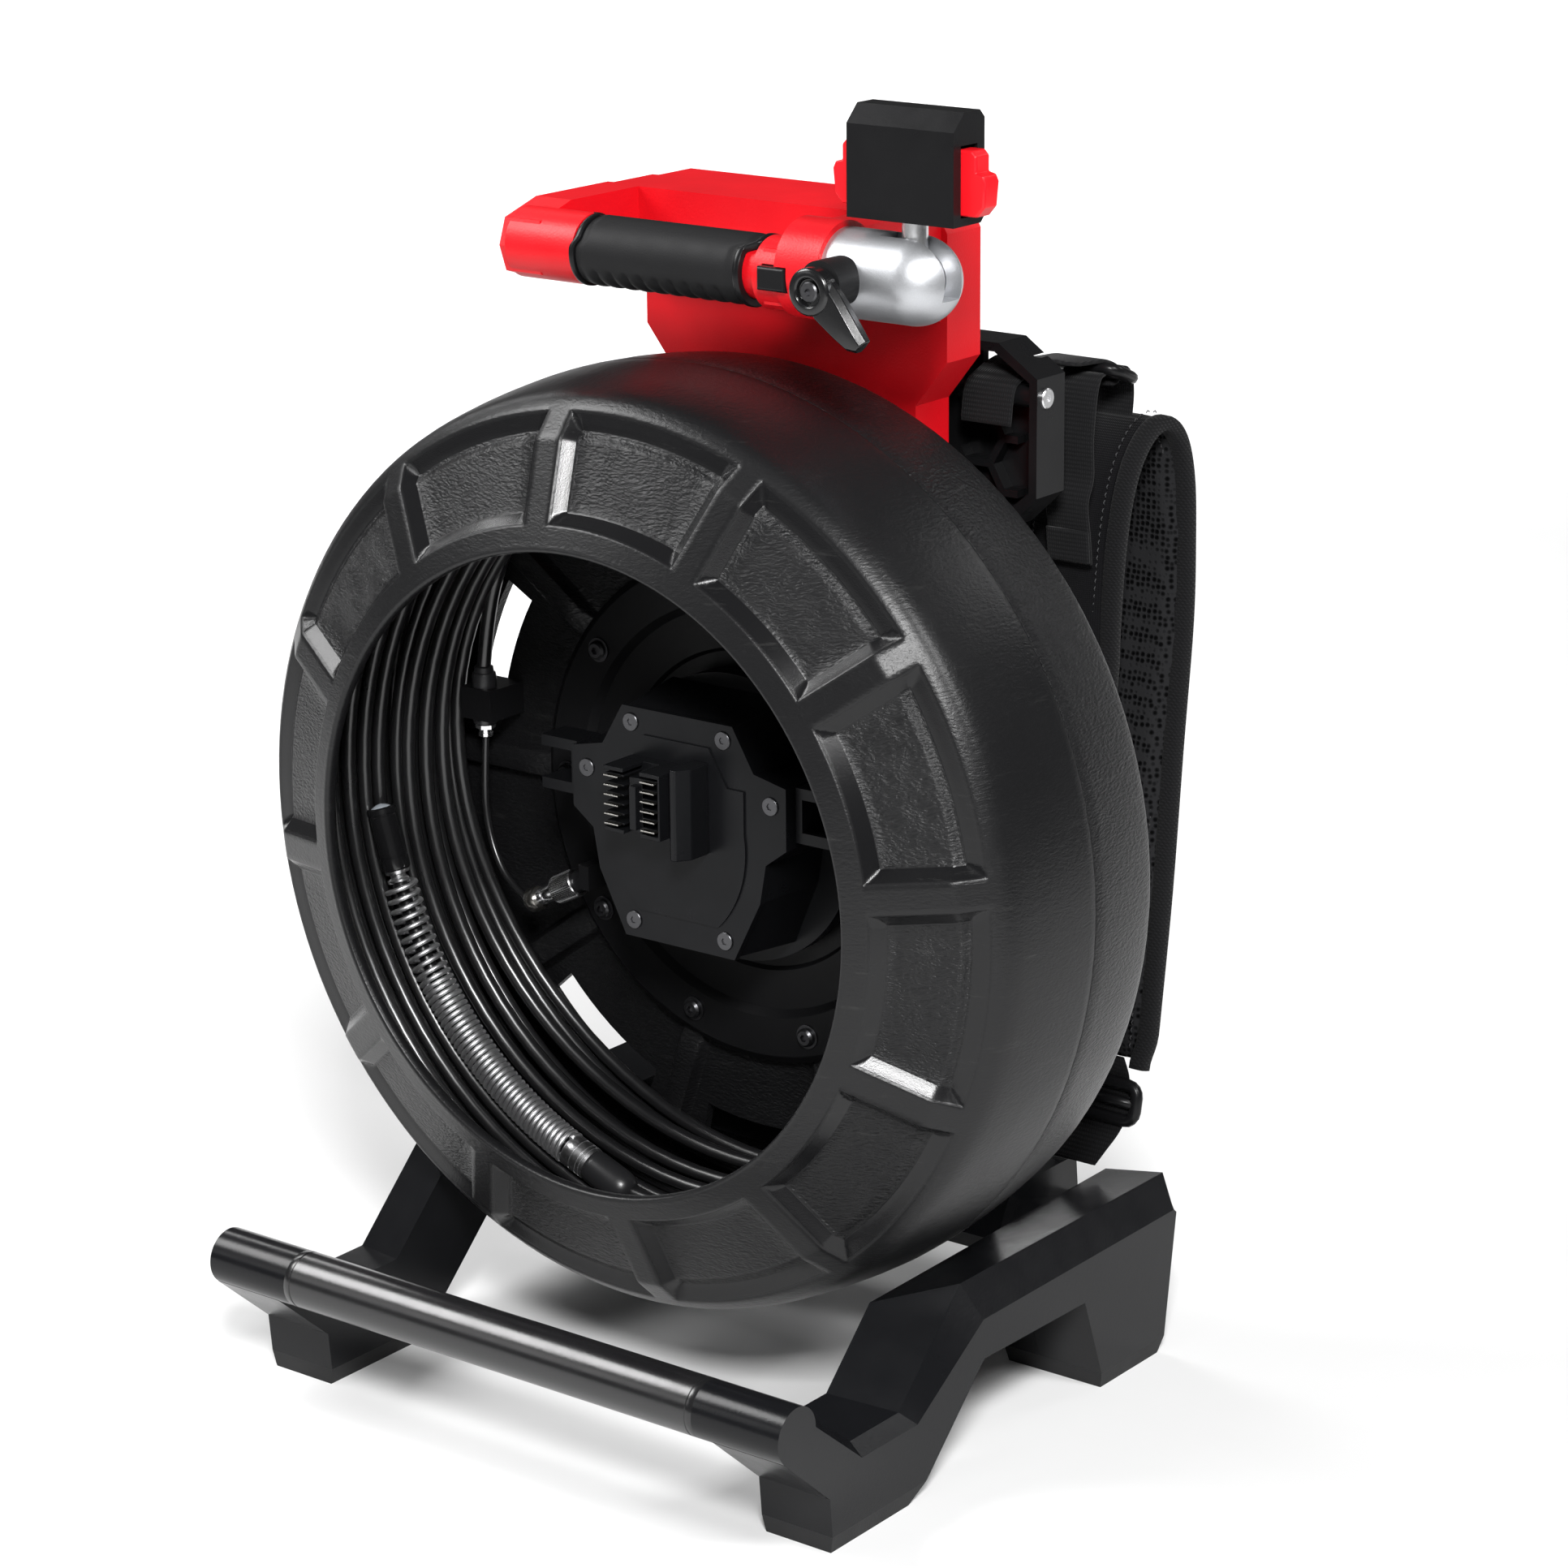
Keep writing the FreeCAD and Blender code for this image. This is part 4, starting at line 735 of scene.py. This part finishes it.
def add_camera_head():
    """Neck, barrel and lens before the spring; ferrule and rounded boot after it."""
    turn = math.radians(HEAD_START)
    down = Vector((math.sin(turn), 0, -math.cos(turn)))
    start = head_line(HEAD_START)
    neck = [(0, 3.2), (0, 5.4), (1.2, 5.8), (2.2, 5.2), (2.6, 4.4), (4.4, 4.4), (4.8, 6.6)]
    neck += [(6.6, 7.0), (7, 5.0)]
    turned("head_neck", start, down, neck, "bright_steel", "spring_steel", "camera_collar")
    body = [(7, 4), (7, 7.4), (7.5, 8.0), (8.4, 8.2), (14, 8.3), (14.2, 7.9), (14.9, 7.9), (15.1, 8.3)]
    body += [(24, 8.5), (38, 8.5), (38.3, 8.2), (39, 8.2), (39.3, 8.5), (42.2, 8.4), (43, 7.6)]
    body += [(43, 6.6), (41.6, 6.4), (41.4, 2)]
    turned("head_barrel", start, down, body, "gloss", "head_metal", "camera_head")
    dome = [(41.4, 0.6), (41.4, 6.2), (42.2, 6.1), (43.2, 5.2), (44.2, 3.4), (44.8, 1.4), (45, 0.2)]
    turned("head_lens", start, down, dome, "glass", "lens_glass", "camera_lens", sharp=None)
    end = head_line(SPRING_END)
    up = past_spring(1) - past_spring(0)
    steps = [(0, 5), (0, 9.0), (0.6, 9.4), (6.2, 9.4), (6.4, 8.9), (7.2, 8.9), (7.4, 9.5), (11, 9.5)]
    steps += [(11.2, 9.0), (11.8, 9.0), (12, 9.5), (13.4, 9.5), (13.6, 9.0), (14.2, 9.0), (14.4, 9.5)]
    steps += [(16, 9.3), (16, 5)]
    turned("spring_end", end, up, steps, "bright_steel", "spring_steel", "spring_ferrule")
    shape = [(16, 4), (16, 8.6), (16.6, 9.1), (19, 9.5), (36, 9.6)]
    shape += [(37 + 8.6 * math.sin(t), 4.2 + 5.4 * math.cos(t)) for t in (0, 0.3, 0.6, 0.9, 1.2, 1.4)]
    shape += [(46, 4.3), (46, 3.6)]
    turned("boot_dome", end, up, shape, "boot", "cable_jacket", "cable_boot", sharp=None)


def add_cable_sleeve():
    """Sleeve in the clamp block, with the flanged hex nut and small ring under it."""
    start = spot(-0.178, 0.174, 0.332)
    shape = [(0, 3), (0, 5.4), (1, 6.6), (6, 6.9), (28, 6.9), (30, 6.4), (30.4, 5.6), (33.4, 5.2)]
    shape += [(34, 4.2)]
    turned("sleeve_tube", start, (0, 0, 1), shape, "boot", "cable_jacket", "cable_sleeve")
    profile = [(0, 2), (0, 5.2), (2.2, 5.2), (2.3, 3.6), (4.6, 3.6), (4.7, 4.1), (6.6, 4.1), (7, 3.6)]
    profile += [(7, 2)]
    rings = lathe(start, (0, 0, -1), profile)
    for ring, (along, radius) in zip(rings, profile):
        if radius < 5:
            continue
        centre = start - Vector((0, 0, along * MM))
        for index, point in enumerate(ring):
            facet = math.radians(index * 7.5 % 60 - 30)
            ring[index] = centre + (point - centre) * (0.95 / math.cos(facet))
    skin = solid_of_rings(rings)
    add_piece("sleeve_nut", skin, "chrome", "drum", "chrome_metal", "cable_nut", sharp=25)


def add_connector():
    """Gland cap, stepped chrome body and knurled nut, on the line the CAD pieces lie on."""
    start = spot(*SIGNAL_ROUTE[-1])
    run = Vector((0.0435, 0, 0.0225)).normalized()
    cap = [(0, 2.2), (0, 4.2), (0.8, 5.6), (2.4, 6.8), (4.4, 7.0), (8, 7.0), (8.6, 6.6), (9, 6.4), (9, 3)]
    turned("plug_gland", start, run, cap, "contact", "connector_plastic", "connector_gland", sharp=50)
    barrel = [(9, 3), (9, 5), (13.6, 5), (13.8, 4.2), (15, 4.2), (15.2, 5), (20, 5), (21, 4.4)]
    barrel += [(24, 4.4), (24, 2)]
    turned("plug_body", start, run, barrel, "chrome", "chrome_metal", "connector_body")
    profile = [(24, 4.5), (24, 7.4), (24.6, 8.0), (25, 8.2), (39.6, 8.2), (40.4, 7.9), (41, 7.4)]
    profile += [(41, 6.2), (38, 6.0), (38, 2)]
    rings = lathe(start, run, profile, 96)
    for ring, (along, radius) in zip(rings, profile):
        if radius < 8.1:
            continue
        centre = start + run * (along * MM)
        for index in range(0, len(ring), 2):
            ring[index] = centre + (ring[index] - centre) * 0.955
    skin = solid_of_rings(rings)
    add_piece("plug_nut", skin, "chrome", "drum", "chrome_metal", "connector_nut", sharp=30)


# ---- hub details


BOX_FACES = ((0, 1, 3, 2), (4, 6, 7, 5), (0, 4, 5, 1), (2, 3, 7, 6), (0, 2, 6, 4), (1, 5, 7, 3))
TERMINAL_BACK = 0.1228
TERMINAL_LOW = DRUM_Z + 0.006


def terminal_box(left, right, forward, behind, low, high):
    """Skin of a box on the terminal block: depths count forward from its back, heights from its foot."""
    depths = (TERMINAL_BACK - forward, TERMINAL_BACK - behind)
    heights = (TERMINAL_LOW + low, TERMINAL_LOW + high)
    return [spot(x, y, z) for x in (left, right) for y in depths for z in heights], BOX_FACES


def add_terminal():
    """Two stacks of thin fins round a flat key, and the chamfered side rail."""
    body = [terminal_box(-0.030, 0.008, 0.007, 0, 0, 0.036)]
    contacts = []
    for left, right in ((-0.030, -0.0165), (-0.0055, 0.008)):
        body.append(terminal_box(left, right, 0.024, 0.006, 0, 0.0022))
        body.append(terminal_box(left, right, 0.024, 0.006, 0.0338, 0.036))
        for step in range(6):
            z = 0.0044 + step * 0.0053
            low, high = z + 0.0001, z + 0.0009
            body.append(terminal_box(left + 0.0006, right - 0.0006, 0.0225, 0.006, z, z + 0.0011))
            contacts.append(terminal_box(left + 0.002, right - 0.002, 0.0262, 0.010, low, high))
    body.append(terminal_box(0.0066, 0.008, 0.024, 0.006, 0.002, 0.034))
    body.append(terminal_box(-0.0155, -0.0065, 0.0200, 0.006, 0.001, 0.031))
    body.append(terminal_box(-0.0132, -0.0088, 0.0232, 0.019, 0.003, 0.027))
    block = add_piece("terminal_stacks", joined(body), "hub", "stand", "hub_plastic", "terminal_block")
    bevel(block, 0.0004)
    fins = add_piece(
        "terminal_contacts", joined(contacts), "contact", "stand", "contact_metal", "terminal_blades"
    )
    bevel(fins, 0.0002)
    outline = ((0.011, 0), (0.011, 0.0195), (0.0135, 0.022), (0.0165, 0.022), (0.022, 0.0145), (0.022, 0))
    rings = []
    for height in (-0.010, 0.040):
        rings.append([spot(x, TERMINAL_BACK - y, TERMINAL_LOW + height) for x, y in outline])
    rail = add_piece("terminal_rail", solid_of_rings(rings), "hub", "stand", "hub_plastic")
    bevel(rail, 0.0009)


# ---- handle and lever

HANDLE_Y, HANDLE_Z = 0.126, 0.6193
GRIP_LEFT, GRIP_RIGHT = -0.047, 0.062
GRIP_ROWS = 72
RIDGE_PITCH = 0.0098
LEVER_X, LEVER_Y, LEVER_Z = 0.1205, 0.091, 0.621
LEVER_SLOPE = -42


def around_handle(x, turn, radius):
    """Point round the handle; the turn is in degrees from the top towards the front."""
    a = math.radians(turn)
    return spot(x, HANDLE_Y - radius * math.sin(a), HANDLE_Z + radius * math.cos(a))


def grip_ends(turn):
    """Where the grip starts and stops along X at a turn: its right end steps back in front."""
    front = smooth_step(turn, 28, 48) * (1 - smooth_step(turn, 300, 330))
    return GRIP_LEFT - 0.003 * smooth_step(turn, 60, 80), GRIP_RIGHT - 0.008 * front


def add_grip():
    """Rubber sleeve, smooth on top and with finger ridges underneath, and its two end trims."""
    columns = 100
    turns = [360 * row / GRIP_ROWS for row in range(GRIP_ROWS)]
    points = []
    for turn in turns:
        start, end = grip_ends(turn)
        under = smooth_step(turn, 112, 122) * (1 - smooth_step(turn, 238, 248))
        for column in range(columns):
            share = column / (columns - 1)
            x = start + (end - start) * share
            ridge = abs(math.sin(math.pi * (x - GRIP_LEFT) / RIDGE_PITCH))
            inset = smooth_step(share, 0.02, 0.06) * (1 - smooth_step(share, 0.94, 0.98))
            radius = 0.0176 + 0.0008 * inset - under * inset * 0.0013 * (1 - ridge**0.6)
            if column in (0, columns - 1):
                radius = 0.0148
            points.append(around_handle(x, turn, radius))
    skin = (points, sheet_faces(GRIP_ROWS, columns, close_rows=True))
    add_piece("grip_sleeve", skin, "rubber", "stand", "grip_rubber", "handle_grip", sharp=50)
    profile = ((0.0005, 0.0150), (0.0005, 0.0186), (0.0012, 0.0190), (0.0030, 0.0190))
    profile += ((0.0040, 0.0184), (0.0040, 0.0150))
    rings = []
    for side, outward in ((0, -1), (1, 1)):
        points = []
        for turn in turns:
            edge = grip_ends(turn)[side]
            points += [around_handle(edge + (step - 0.0008) * outward, turn, r) for step, r in profile]
        rings.append((points, sheet_faces(GRIP_ROWS, len(profile), close_rows=True, close_columns=True)))
    add_piece("grip_edges", joined(rings), "trim", "stand", "trim_plastic", "grip_trims", sharp=50)


def lever_point(along, across, out):
    """Point on the lever in millimetres: along its arm, across it, and out towards the front."""
    turn = math.radians(LEVER_SLOPE)
    x = LEVER_X + along * MM * math.cos(turn) - across * MM * math.sin(turn)
    z = LEVER_Z + along * MM * math.sin(turn) + across * MM * math.cos(turn)
    return spot(x, LEVER_Y - out * MM, z)


def add_lever():
    """Round hub with a stepped rim, and a tapering arm with a raised back and a cut-off end."""
    profile = [(0, 0.5), (0, 11.2), (0.8, 12), (8.6, 12), (9.6, 11.2), (10, 10.2), (10, 7.6), (9.2, 7.0)]
    profile += [(7.2, 6.6), (7, 0.5)]
    hub = lathe(spot(LEVER_X, LEVER_Y, LEVER_Z), (0, -1, 0), profile, 64)
    arm = []
    for along, low, high, thick in (
        (4, -10.2, 11.2, 8.6),
        (12, -9.6, 10.4, 8.8),
        (24, -8.2, 8.0, 9.0),
        (33, -6.8, 6.0, 8.8),
        (38, -3.4, 4.8, 8.0),
    ):
        mid = (low + high) / 2
        section = ((low, 0.6), (low, thick * 0.55), (low + 2.4, thick - 0.3), (mid, thick))
        section += ((high - 2.4, thick - 0.3), (high, thick * 0.55), (high, 0.6), (mid, 0))
        arm.append([lever_point(along, across, out) for across, out in section])
    skin = joined([solid_of_rings(hub), solid_of_rings(arm)])
    lever = add_piece("lever_arm", skin, "gloss", "lever", "trim_plastic", "clamp_lever")
    bevel(lever, 0.0006, angle=30)


def add_latches():
    """Red side latches: a tooth above and a finger pad below, tapered at both ends."""
    outline = ((-3.5, 658), (8.5, 658), (12.8, 663), (14, 675), (12.4, 678.4), (8.2, 679.4), (8.2, 687.4))
    outline += ((5.6, 690), (-3.5, 690))
    middle = 674
    for side, name in ((-1, "left"), (1, "right")):
        rings = []
        for y, inset in ((0.1240, 0.8), (0.1250, 0), (0.1350, 0), (0.1360, 0.8)):
            ring = []
            for out, z in outline:
                pull = inset if out > 0 else 0
                height = middle + (z - middle) * (1 - inset * 0.03)
                ring.append(spot(0.150 + side * (0.032 + (out - pull) * MM), y, height * MM))
            rings.append(ring)
        latch = add_piece(
            f"latch_pad_{name}",
            solid_of_rings(rings),
            "red_latch",
            f"{name}_latch",
            "latch_red",
            f"latch_{name}",
        )
        bevel(latch, 0.0008)


def add_front_bar():
    """Tube between the noses with a narrow seam ring near each end."""
    ends = [(-139.4, 15.2), (-139.0, 15.5), (-135.6, 15.5), (-135.3, 15.1), (-134.6, 15.1)]
    ends.append((-134.3, 15.5))
    profile = [(-139.4, 6), *ends, *((x, 15.5) for x in (-120, -60, 0, 60, 120))]
    profile += [(-x, r) for x, r in reversed(ends)] + [(139.4, 6)]
    skin = solid_of_rings(lathe(spot(0, -0.030, 0.076), (1, 0, 0), profile, 64))
    add_piece("bar_tube", skin, "bar", "stand", "stand_plastic", "front_bar", sharp=40)


# ---- harness


def curve_through(stations, steps):
    """Catmull-Rom curve through the stations, which are vectors."""
    line = [stations[0] * 2 - stations[1], *stations, stations[-1] * 2 - stations[-2]]
    points = []
    for a, b, c, d in zip(line, line[1:], line[2:], line[3:]):
        for step in range(steps):
            t = step / steps
            square = (2 * a - 5 * b + 4 * c - d) * t**2
            cube = (3 * b - a - 3 * c + d) * t**3
            points.append(0.5 * (2 * b + (c - a) * t + square + cube))
    return points + [stations[-1]]


def side_curve(route, side, steps):
    """Curve through a route that is given for the right-hand side."""
    return curve_through([spot(side * x, y, z) for x, y, z in route], steps)


def band_rings(line, section):
    """Rings of a band wide along X: section gives (share along the band) -> [(across, out)]."""
    rings = []
    for index, point in enumerate(line):
        run = line[min(index + 1, len(line) - 1)] - line[max(index - 1, 0)]
        run.x = 0
        out = run.normalized().cross(Vector((1, 0, 0)))
        share = index / (len(line) - 1)
        rings.append([point + Vector((across, 0, 0)) + out * up for across, up in section(share)])
    return rings


WEB_THICK = 0.0024


def web_section(width):
    half, lift, edge = width / 2, WEB_THICK / 2, 0.0012
    return [
        (-half, -lift * 0.4),
        (-half + edge, -lift),
        (half - edge, -lift),
        (half, -lift * 0.4),
        (half, lift * 0.4),
        (half - edge, lift),
        (0, lift * 1.05),
        (-half + edge, lift),
        (-half, lift * 0.4),
    ]


PAD_LINE = (
    (0.101, 0.338, 0.335),
    (0.102, 0.338, 0.400),
    (0.104, 0.341, 0.452),
    (0.105, 0.350, 0.484),
    (0.106, 0.364, 0.502),
    (0.108, 0.378, 0.507),
    (0.110, 0.390, 0.497),
    (0.112, 0.395, 0.474),
    (0.114, 0.394, 0.440),
    (0.118, 0.387, 0.395),
    (0.125, 0.368, 0.330),
    (0.134, 0.345, 0.253),
    (0.140, 0.325, 0.185),
    (0.142, 0.318, 0.158),
)
PAD_WIDTH = 0.068


def pad_section(thick, half):
    """Rounded cushion section: full in the middle, pulled in to the binding at the edges."""
    ring = []
    for step in range(20):
        a = 2 * math.pi * step / 20
        across = half * math.copysign(abs(math.cos(a)) ** 0.55, math.cos(a))
        ring.append((across, thick / 2 * math.copysign(abs(math.sin(a)) ** 0.8, math.sin(a))))
    return ring


def apply_modifiers(obj):
    depsgraph = bpy.context.evaluated_depsgraph_get()
    obj.data = bpy.data.meshes.new_from_object(obj.evaluated_get(depsgraph))
    obj.modifiers.clear()


def inflate(obj, cap):
    """Cloth simulation that puffs a closed form out, no point moving further than the cap.

    Sideways the points hardly move, so that the edges stay under their binding.
    """
    remesh = obj.modifiers.new("remesh", "REMESH")
    remesh.mode = "VOXEL"
    remesh.voxel_size = 0.0045
    apply_modifiers(obj)
    before = [v.co.copy() for v in obj.data.vertices]
    cloth = obj.modifiers.new("cloth", "CLOTH")
    cloth.settings.use_pressure = True
    cloth.settings.uniform_pressure_force = 4.0
    cloth.settings.effector_weights.gravity = 0
    cloth.settings.quality = 5
    frames = 20
    cloth.point_cache.frame_start = 1
    cloth.point_cache.frame_end = frames
    scene = bpy.context.scene
    for step in range(1, frames + 1):
        scene.frame_set(step)
    apply_modifiers(obj)
    for vertex, start in zip(obj.data.vertices, before):
        move = vertex.co - start
        move.x *= 0.2
        if move.length > cap:
            move = move.normalized() * cap
        vertex.co = start + move
    scene.frame_set(1)


def line_inside(pad, line):
    """Spacer mesh on the faces that look into the fold."""
    pad.data.materials.append(PAINT["mesh"])
    middle = [(a + b) / 2 for a, b in zip(line, line[1:])]
    inward = [(b - a).cross(Vector((1, 0, 0))).normalized() for a, b in zip(line, line[1:])]
    for face in pad.data.polygons:
        nearest = min(range(len(middle)), key=lambda k: (middle[k] - face.center).length_squared)
        if face.normal.dot(inward[nearest]) > 0.25:
            face.material_index = 1


def add_pad(side):
    name = "right" if side > 0 else "left"
    line = side_curve(PAD_LINE, side, 6)
    half = PAD_WIDTH / 2 - 0.003

    def ends(share):
        """0 at the pad's two ends and 1 between them."""
        return smooth_step(share, 0.0, 0.05) * (1 - smooth_step(share, 0.93, 1.0))

    def narrow(share):
        return 0.86 + 0.14 * ends(share)

    def section(share):
        return pad_section(0.0090 - 0.0030 * (1 - ends(share)), half * narrow(share))

    pad = new_object(f"pad_{name}", *solid_of_rings(band_rings(line, section)), PAINT["fabric"])
    inflate(pad, 0.005)
    line_inside(pad, line)
    pad.data.shade_smooth()
    finer = pad.modifiers.new("finer", "SUBSURF")
    finer.levels = finer.render_levels = 1
    place(pad, "stand", "pad_fabric", f"shoulder_pad_{name}")
    edges, seams = [], []
    for edge in (-1, 1):
        rim = []
        for index, point in enumerate(line):
            reach = edge * (half - 0.0016) * narrow(index / (len(line) - 1))
            rim.append(point + Vector((reach, 0, 0)))
        edges.append(solid_of_rings(band_rings(rim, lambda share: pad_section(0.0092, 0.0056))))
        seams.append([p + Vector((edge * (half - 0.0095), 0, 0)) for p in line[2:-2]])
    add_piece(f"binding_{name}", joined(edges), "binding", "stand", "webbing")
    add_stitches(f"stitches_{name}", seams, 0.0058)


def add_stitches(name, seams, lift):
    """Short raised threads along each seam, on both faces of a band."""
    spacing = 0.0042
    threads = []
    for seam in seams:
        walked = [0.0]
        for a, b in zip(seam, seam[1:]):
            walked.append(walked[-1] + (b - a).length)
        for index in range(int(walked[-1] / spacing)):
            here = index * spacing
            piece = max(k for k, w in enumerate(walked) if w <= here)
            piece = min(piece, len(seam) - 2)
            run = (seam[piece + 1] - seam[piece]).normalized()
            at = seam[piece] + run * (here - walked[piece])
            out = Vector((0, run.y, run.z)).normalized().cross(Vector((1, 0, 0)))
            for sign in (-1, 1):
                base = at + out * (lift * sign)
                path = [base - out * 0.0006 * sign, base + run * 0.0013 + out * 0.0004 * sign]
                path.append(base + run * 0.0026 - out * 0.0006 * sign)
                threads.append(solid_of_rings(tube(path, 0.0003, 5)))
    add_piece(name, joined(threads), "thread", "stand", "webbing")


def buckle_skin(centre, tilt, width, depth):
    """Rounded frame and middle bar of a three-bar buckle, tilted about X."""
    turn = Matrix.Rotation(math.radians(tilt), 3, "X")
    half_x, half_y, corner = width / 2 - 0.003, depth / 2 - 0.003, 0.006
    loop = []
    for sx, sy, start in ((1, 1, 0), (-1, 1, 90), (-1, -1, 180), (1, -1, 270)):
        for step in range(5):
            a = math.radians(start + 22.5 * step)
            x = sx * (half_x - corner) + corner * math.cos(a)
            y = sy * (half_y - corner) + corner * math.sin(a)
            loop.append(Vector((x, y, 0)))
    rings = []
    for index, point in enumerate(loop):
        run = (loop[(index + 1) % len(loop)] - loop[index - 1]).normalized()
        side = run.cross(Vector((0, 0, 1)))
        ring = []
        for step in range(10):
            a = 2 * math.pi * step / 10
            ring.append(point + side * (0.0036 * math.cos(a)) + Vector((0, 0, 0.0034 * math.sin(a))))
        rings.append(ring)
    middle = tube([Vector((x, 0, 0)) for x in (-half_x, 0, half_x)], 0.0033, 10)
    points, faces = joined([solid_of_rings(rings, closed=True), solid_of_rings(middle)])
    return [turn @ p + centre for p in points], faces


def add_buckles():
    for name, node, x, y, z, tilt, width, depth in (
        ("glide_top", "top_buckles", 0.106, 0.357, 0.536, -22, 0.046, 0.030),
        ("glide_low", "lower_buckles", 0.150, 0.314, 0.138, 78, 0.042, 0.026),
    ):
        skin = joined([buckle_skin(spot(side * x, y, z), tilt, width, depth) for side in (-1, 1)])
        add_piece(name, skin, "trim", "stand", "bracket_plastic", node)


def add_webs():
    """Loops over the rods, loose tails with a folded hem, and the short lower webs."""
    rods = [(0.094, 0.272, 0.520), (0.094, 0.2755, 0.538), (0.094, 0.284, 0.5435)]
    rods += [(0.094, 0.306, 0.549), (0.100, 0.327, 0.545), (0.104, 0.343, 0.5445)]
    rods += [(0.104, 0.352, 0.5425), (0.104, 0.3605, 0.5385), (0.104, 0.3625, 0.5330)]
    rods += [(0.104, 0.3585, 0.5302), (0.104, 0.352, 0.5310)]
    holder = [(0.104, 0.3640, 0.5370), (0.104, 0.3705, 0.5362), (0.104, 0.3745, 0.5300)]
    holder += [(0.104, 0.3755, 0.520), (0.104, 0.3740, 0.508)]
    tail = [(0.108, 0.346, 0.5372), (0.110, 0.338, 0.5362), (0.112, 0.3312, 0.528)]
    tail += [(0.112, 0.328, 0.505), (0.112, 0.3285, 0.484), (0.112, 0.3235, 0.470)]
    tail += [(0.112, 0.326, 0.452), (0.112, 0.328, 0.436)]
    hem = [(0.112, 0.3238, 0.455), (0.112, 0.3248, 0.446), (0.112, 0.3258, 0.437)]
    low = [(0.134, 0.304, 0.101), (0.139, 0.3075, 0.110), (0.145, 0.3115, 0.121)]
    low += [(0.149, 0.3150, 0.134), (0.146, 0.3195, 0.150), (0.143, 0.3185, 0.162)]
    for name, routes, steps, width, *nodes in (
        ("web_over_rods", (rods, holder), 6, 0.032, "web_loops"),
        ("web_ends", (tail,), 8, 0.027, "web_tails"),
        ("web_hems", (hem,), 5, 0.027),
        ("web_low", (low,), 6, 0.028, "lower_webs"),
    ):
        section = web_section(width)
        bands = []
        for side in (-1, 1):
            for route in routes:
                line = side_curve(route, side, steps)
                bands.append(solid_of_rings(band_rings(line, lambda share: section)))
        add_piece(name, joined(bands), "webbing", "stand", "webbing", *nodes)


# ---- stage


def add_stage():
    """Pale floor that curves up a little behind the object, and soft studio lights."""
    left, right, back_y, front_y, rise = -6.0, 1.8, 3.2, -6.0, 1.2
    profile = [(front_y, 0.0), (back_y - rise, 0.0)]
    for step in range(1, 9):
        turn = math.pi / 2 * step / 12
        profile.append((back_y - rise + rise * math.sin(turn), rise - rise * math.cos(turn)))
    points = [Vector((x, y, z)) for y, z in profile for x in (left, right)]
    paint = Paint("studio_paper", (0.78, 0.78, 0.78), 0.8)
    paint.relief(paint.noise(40, 2), 0.0002)
    floor = new_object("studio_floor", points, sheet_faces(len(profile), 2), paint.done())
    for name, where, aim, size, power in (
        ("key", (-1.6, -0.95, 2.0), (0, 0, 0.3), 1.1, 56),
        ("front_left", (-1.6, -2.1, 1.15), (0, 0, 0.35), 0.8, 4),
        ("inside", (1.75, -2.1, 2.2), (-0.1, 0, 0.2), 0.6, 130),
        ("right_top", (2.3, -0.3, 2.4), (0.4, 0.4, 0), 0.8, 50),
        ("rim", (1.0, 2.1, 1.9), (0, 0, 0.4), 0.6, 5),
        ("backdrop", (-2.5, 1.0, 2.0), (-2.5, 3.0, 0.1), 1.8, 100),
    ):
        light = bpy.data.lights.new(name, "AREA")
        light.shape = "SQUARE"
        light.size = size
        light.energy = power
        lamp = bpy.data.objects.new(name, light)
        lamp.location = where
        lamp.rotation_euler = (Vector(where) - Vector(aim)).to_track_quat("Z", "Y").to_euler()
        bpy.context.scene.collection.objects.link(lamp)
    world = bpy.data.worlds.new("studio")
    world.use_nodes = True
    background = world.node_tree.nodes["Background"]
    background.inputs["Color"].default_value = (1, 1, 1, 1)
    background.inputs["Strength"].default_value = 0.06
    bpy.context.scene.world = world
    bpy.context.scene.view_settings.view_transform = "Standard"


add_camera()
add_stage()
finish_nodes()
add_front_shell()
add_rear_shell()
add_spring()
add_camera_head()
add_cable_sleeve()
add_connector()
add_cords()
add_terminal()
add_grip()
add_lever()
add_latches()
add_front_bar()
add_webs()
add_buckles()
for side in (-1, 1):
    add_pad(side)
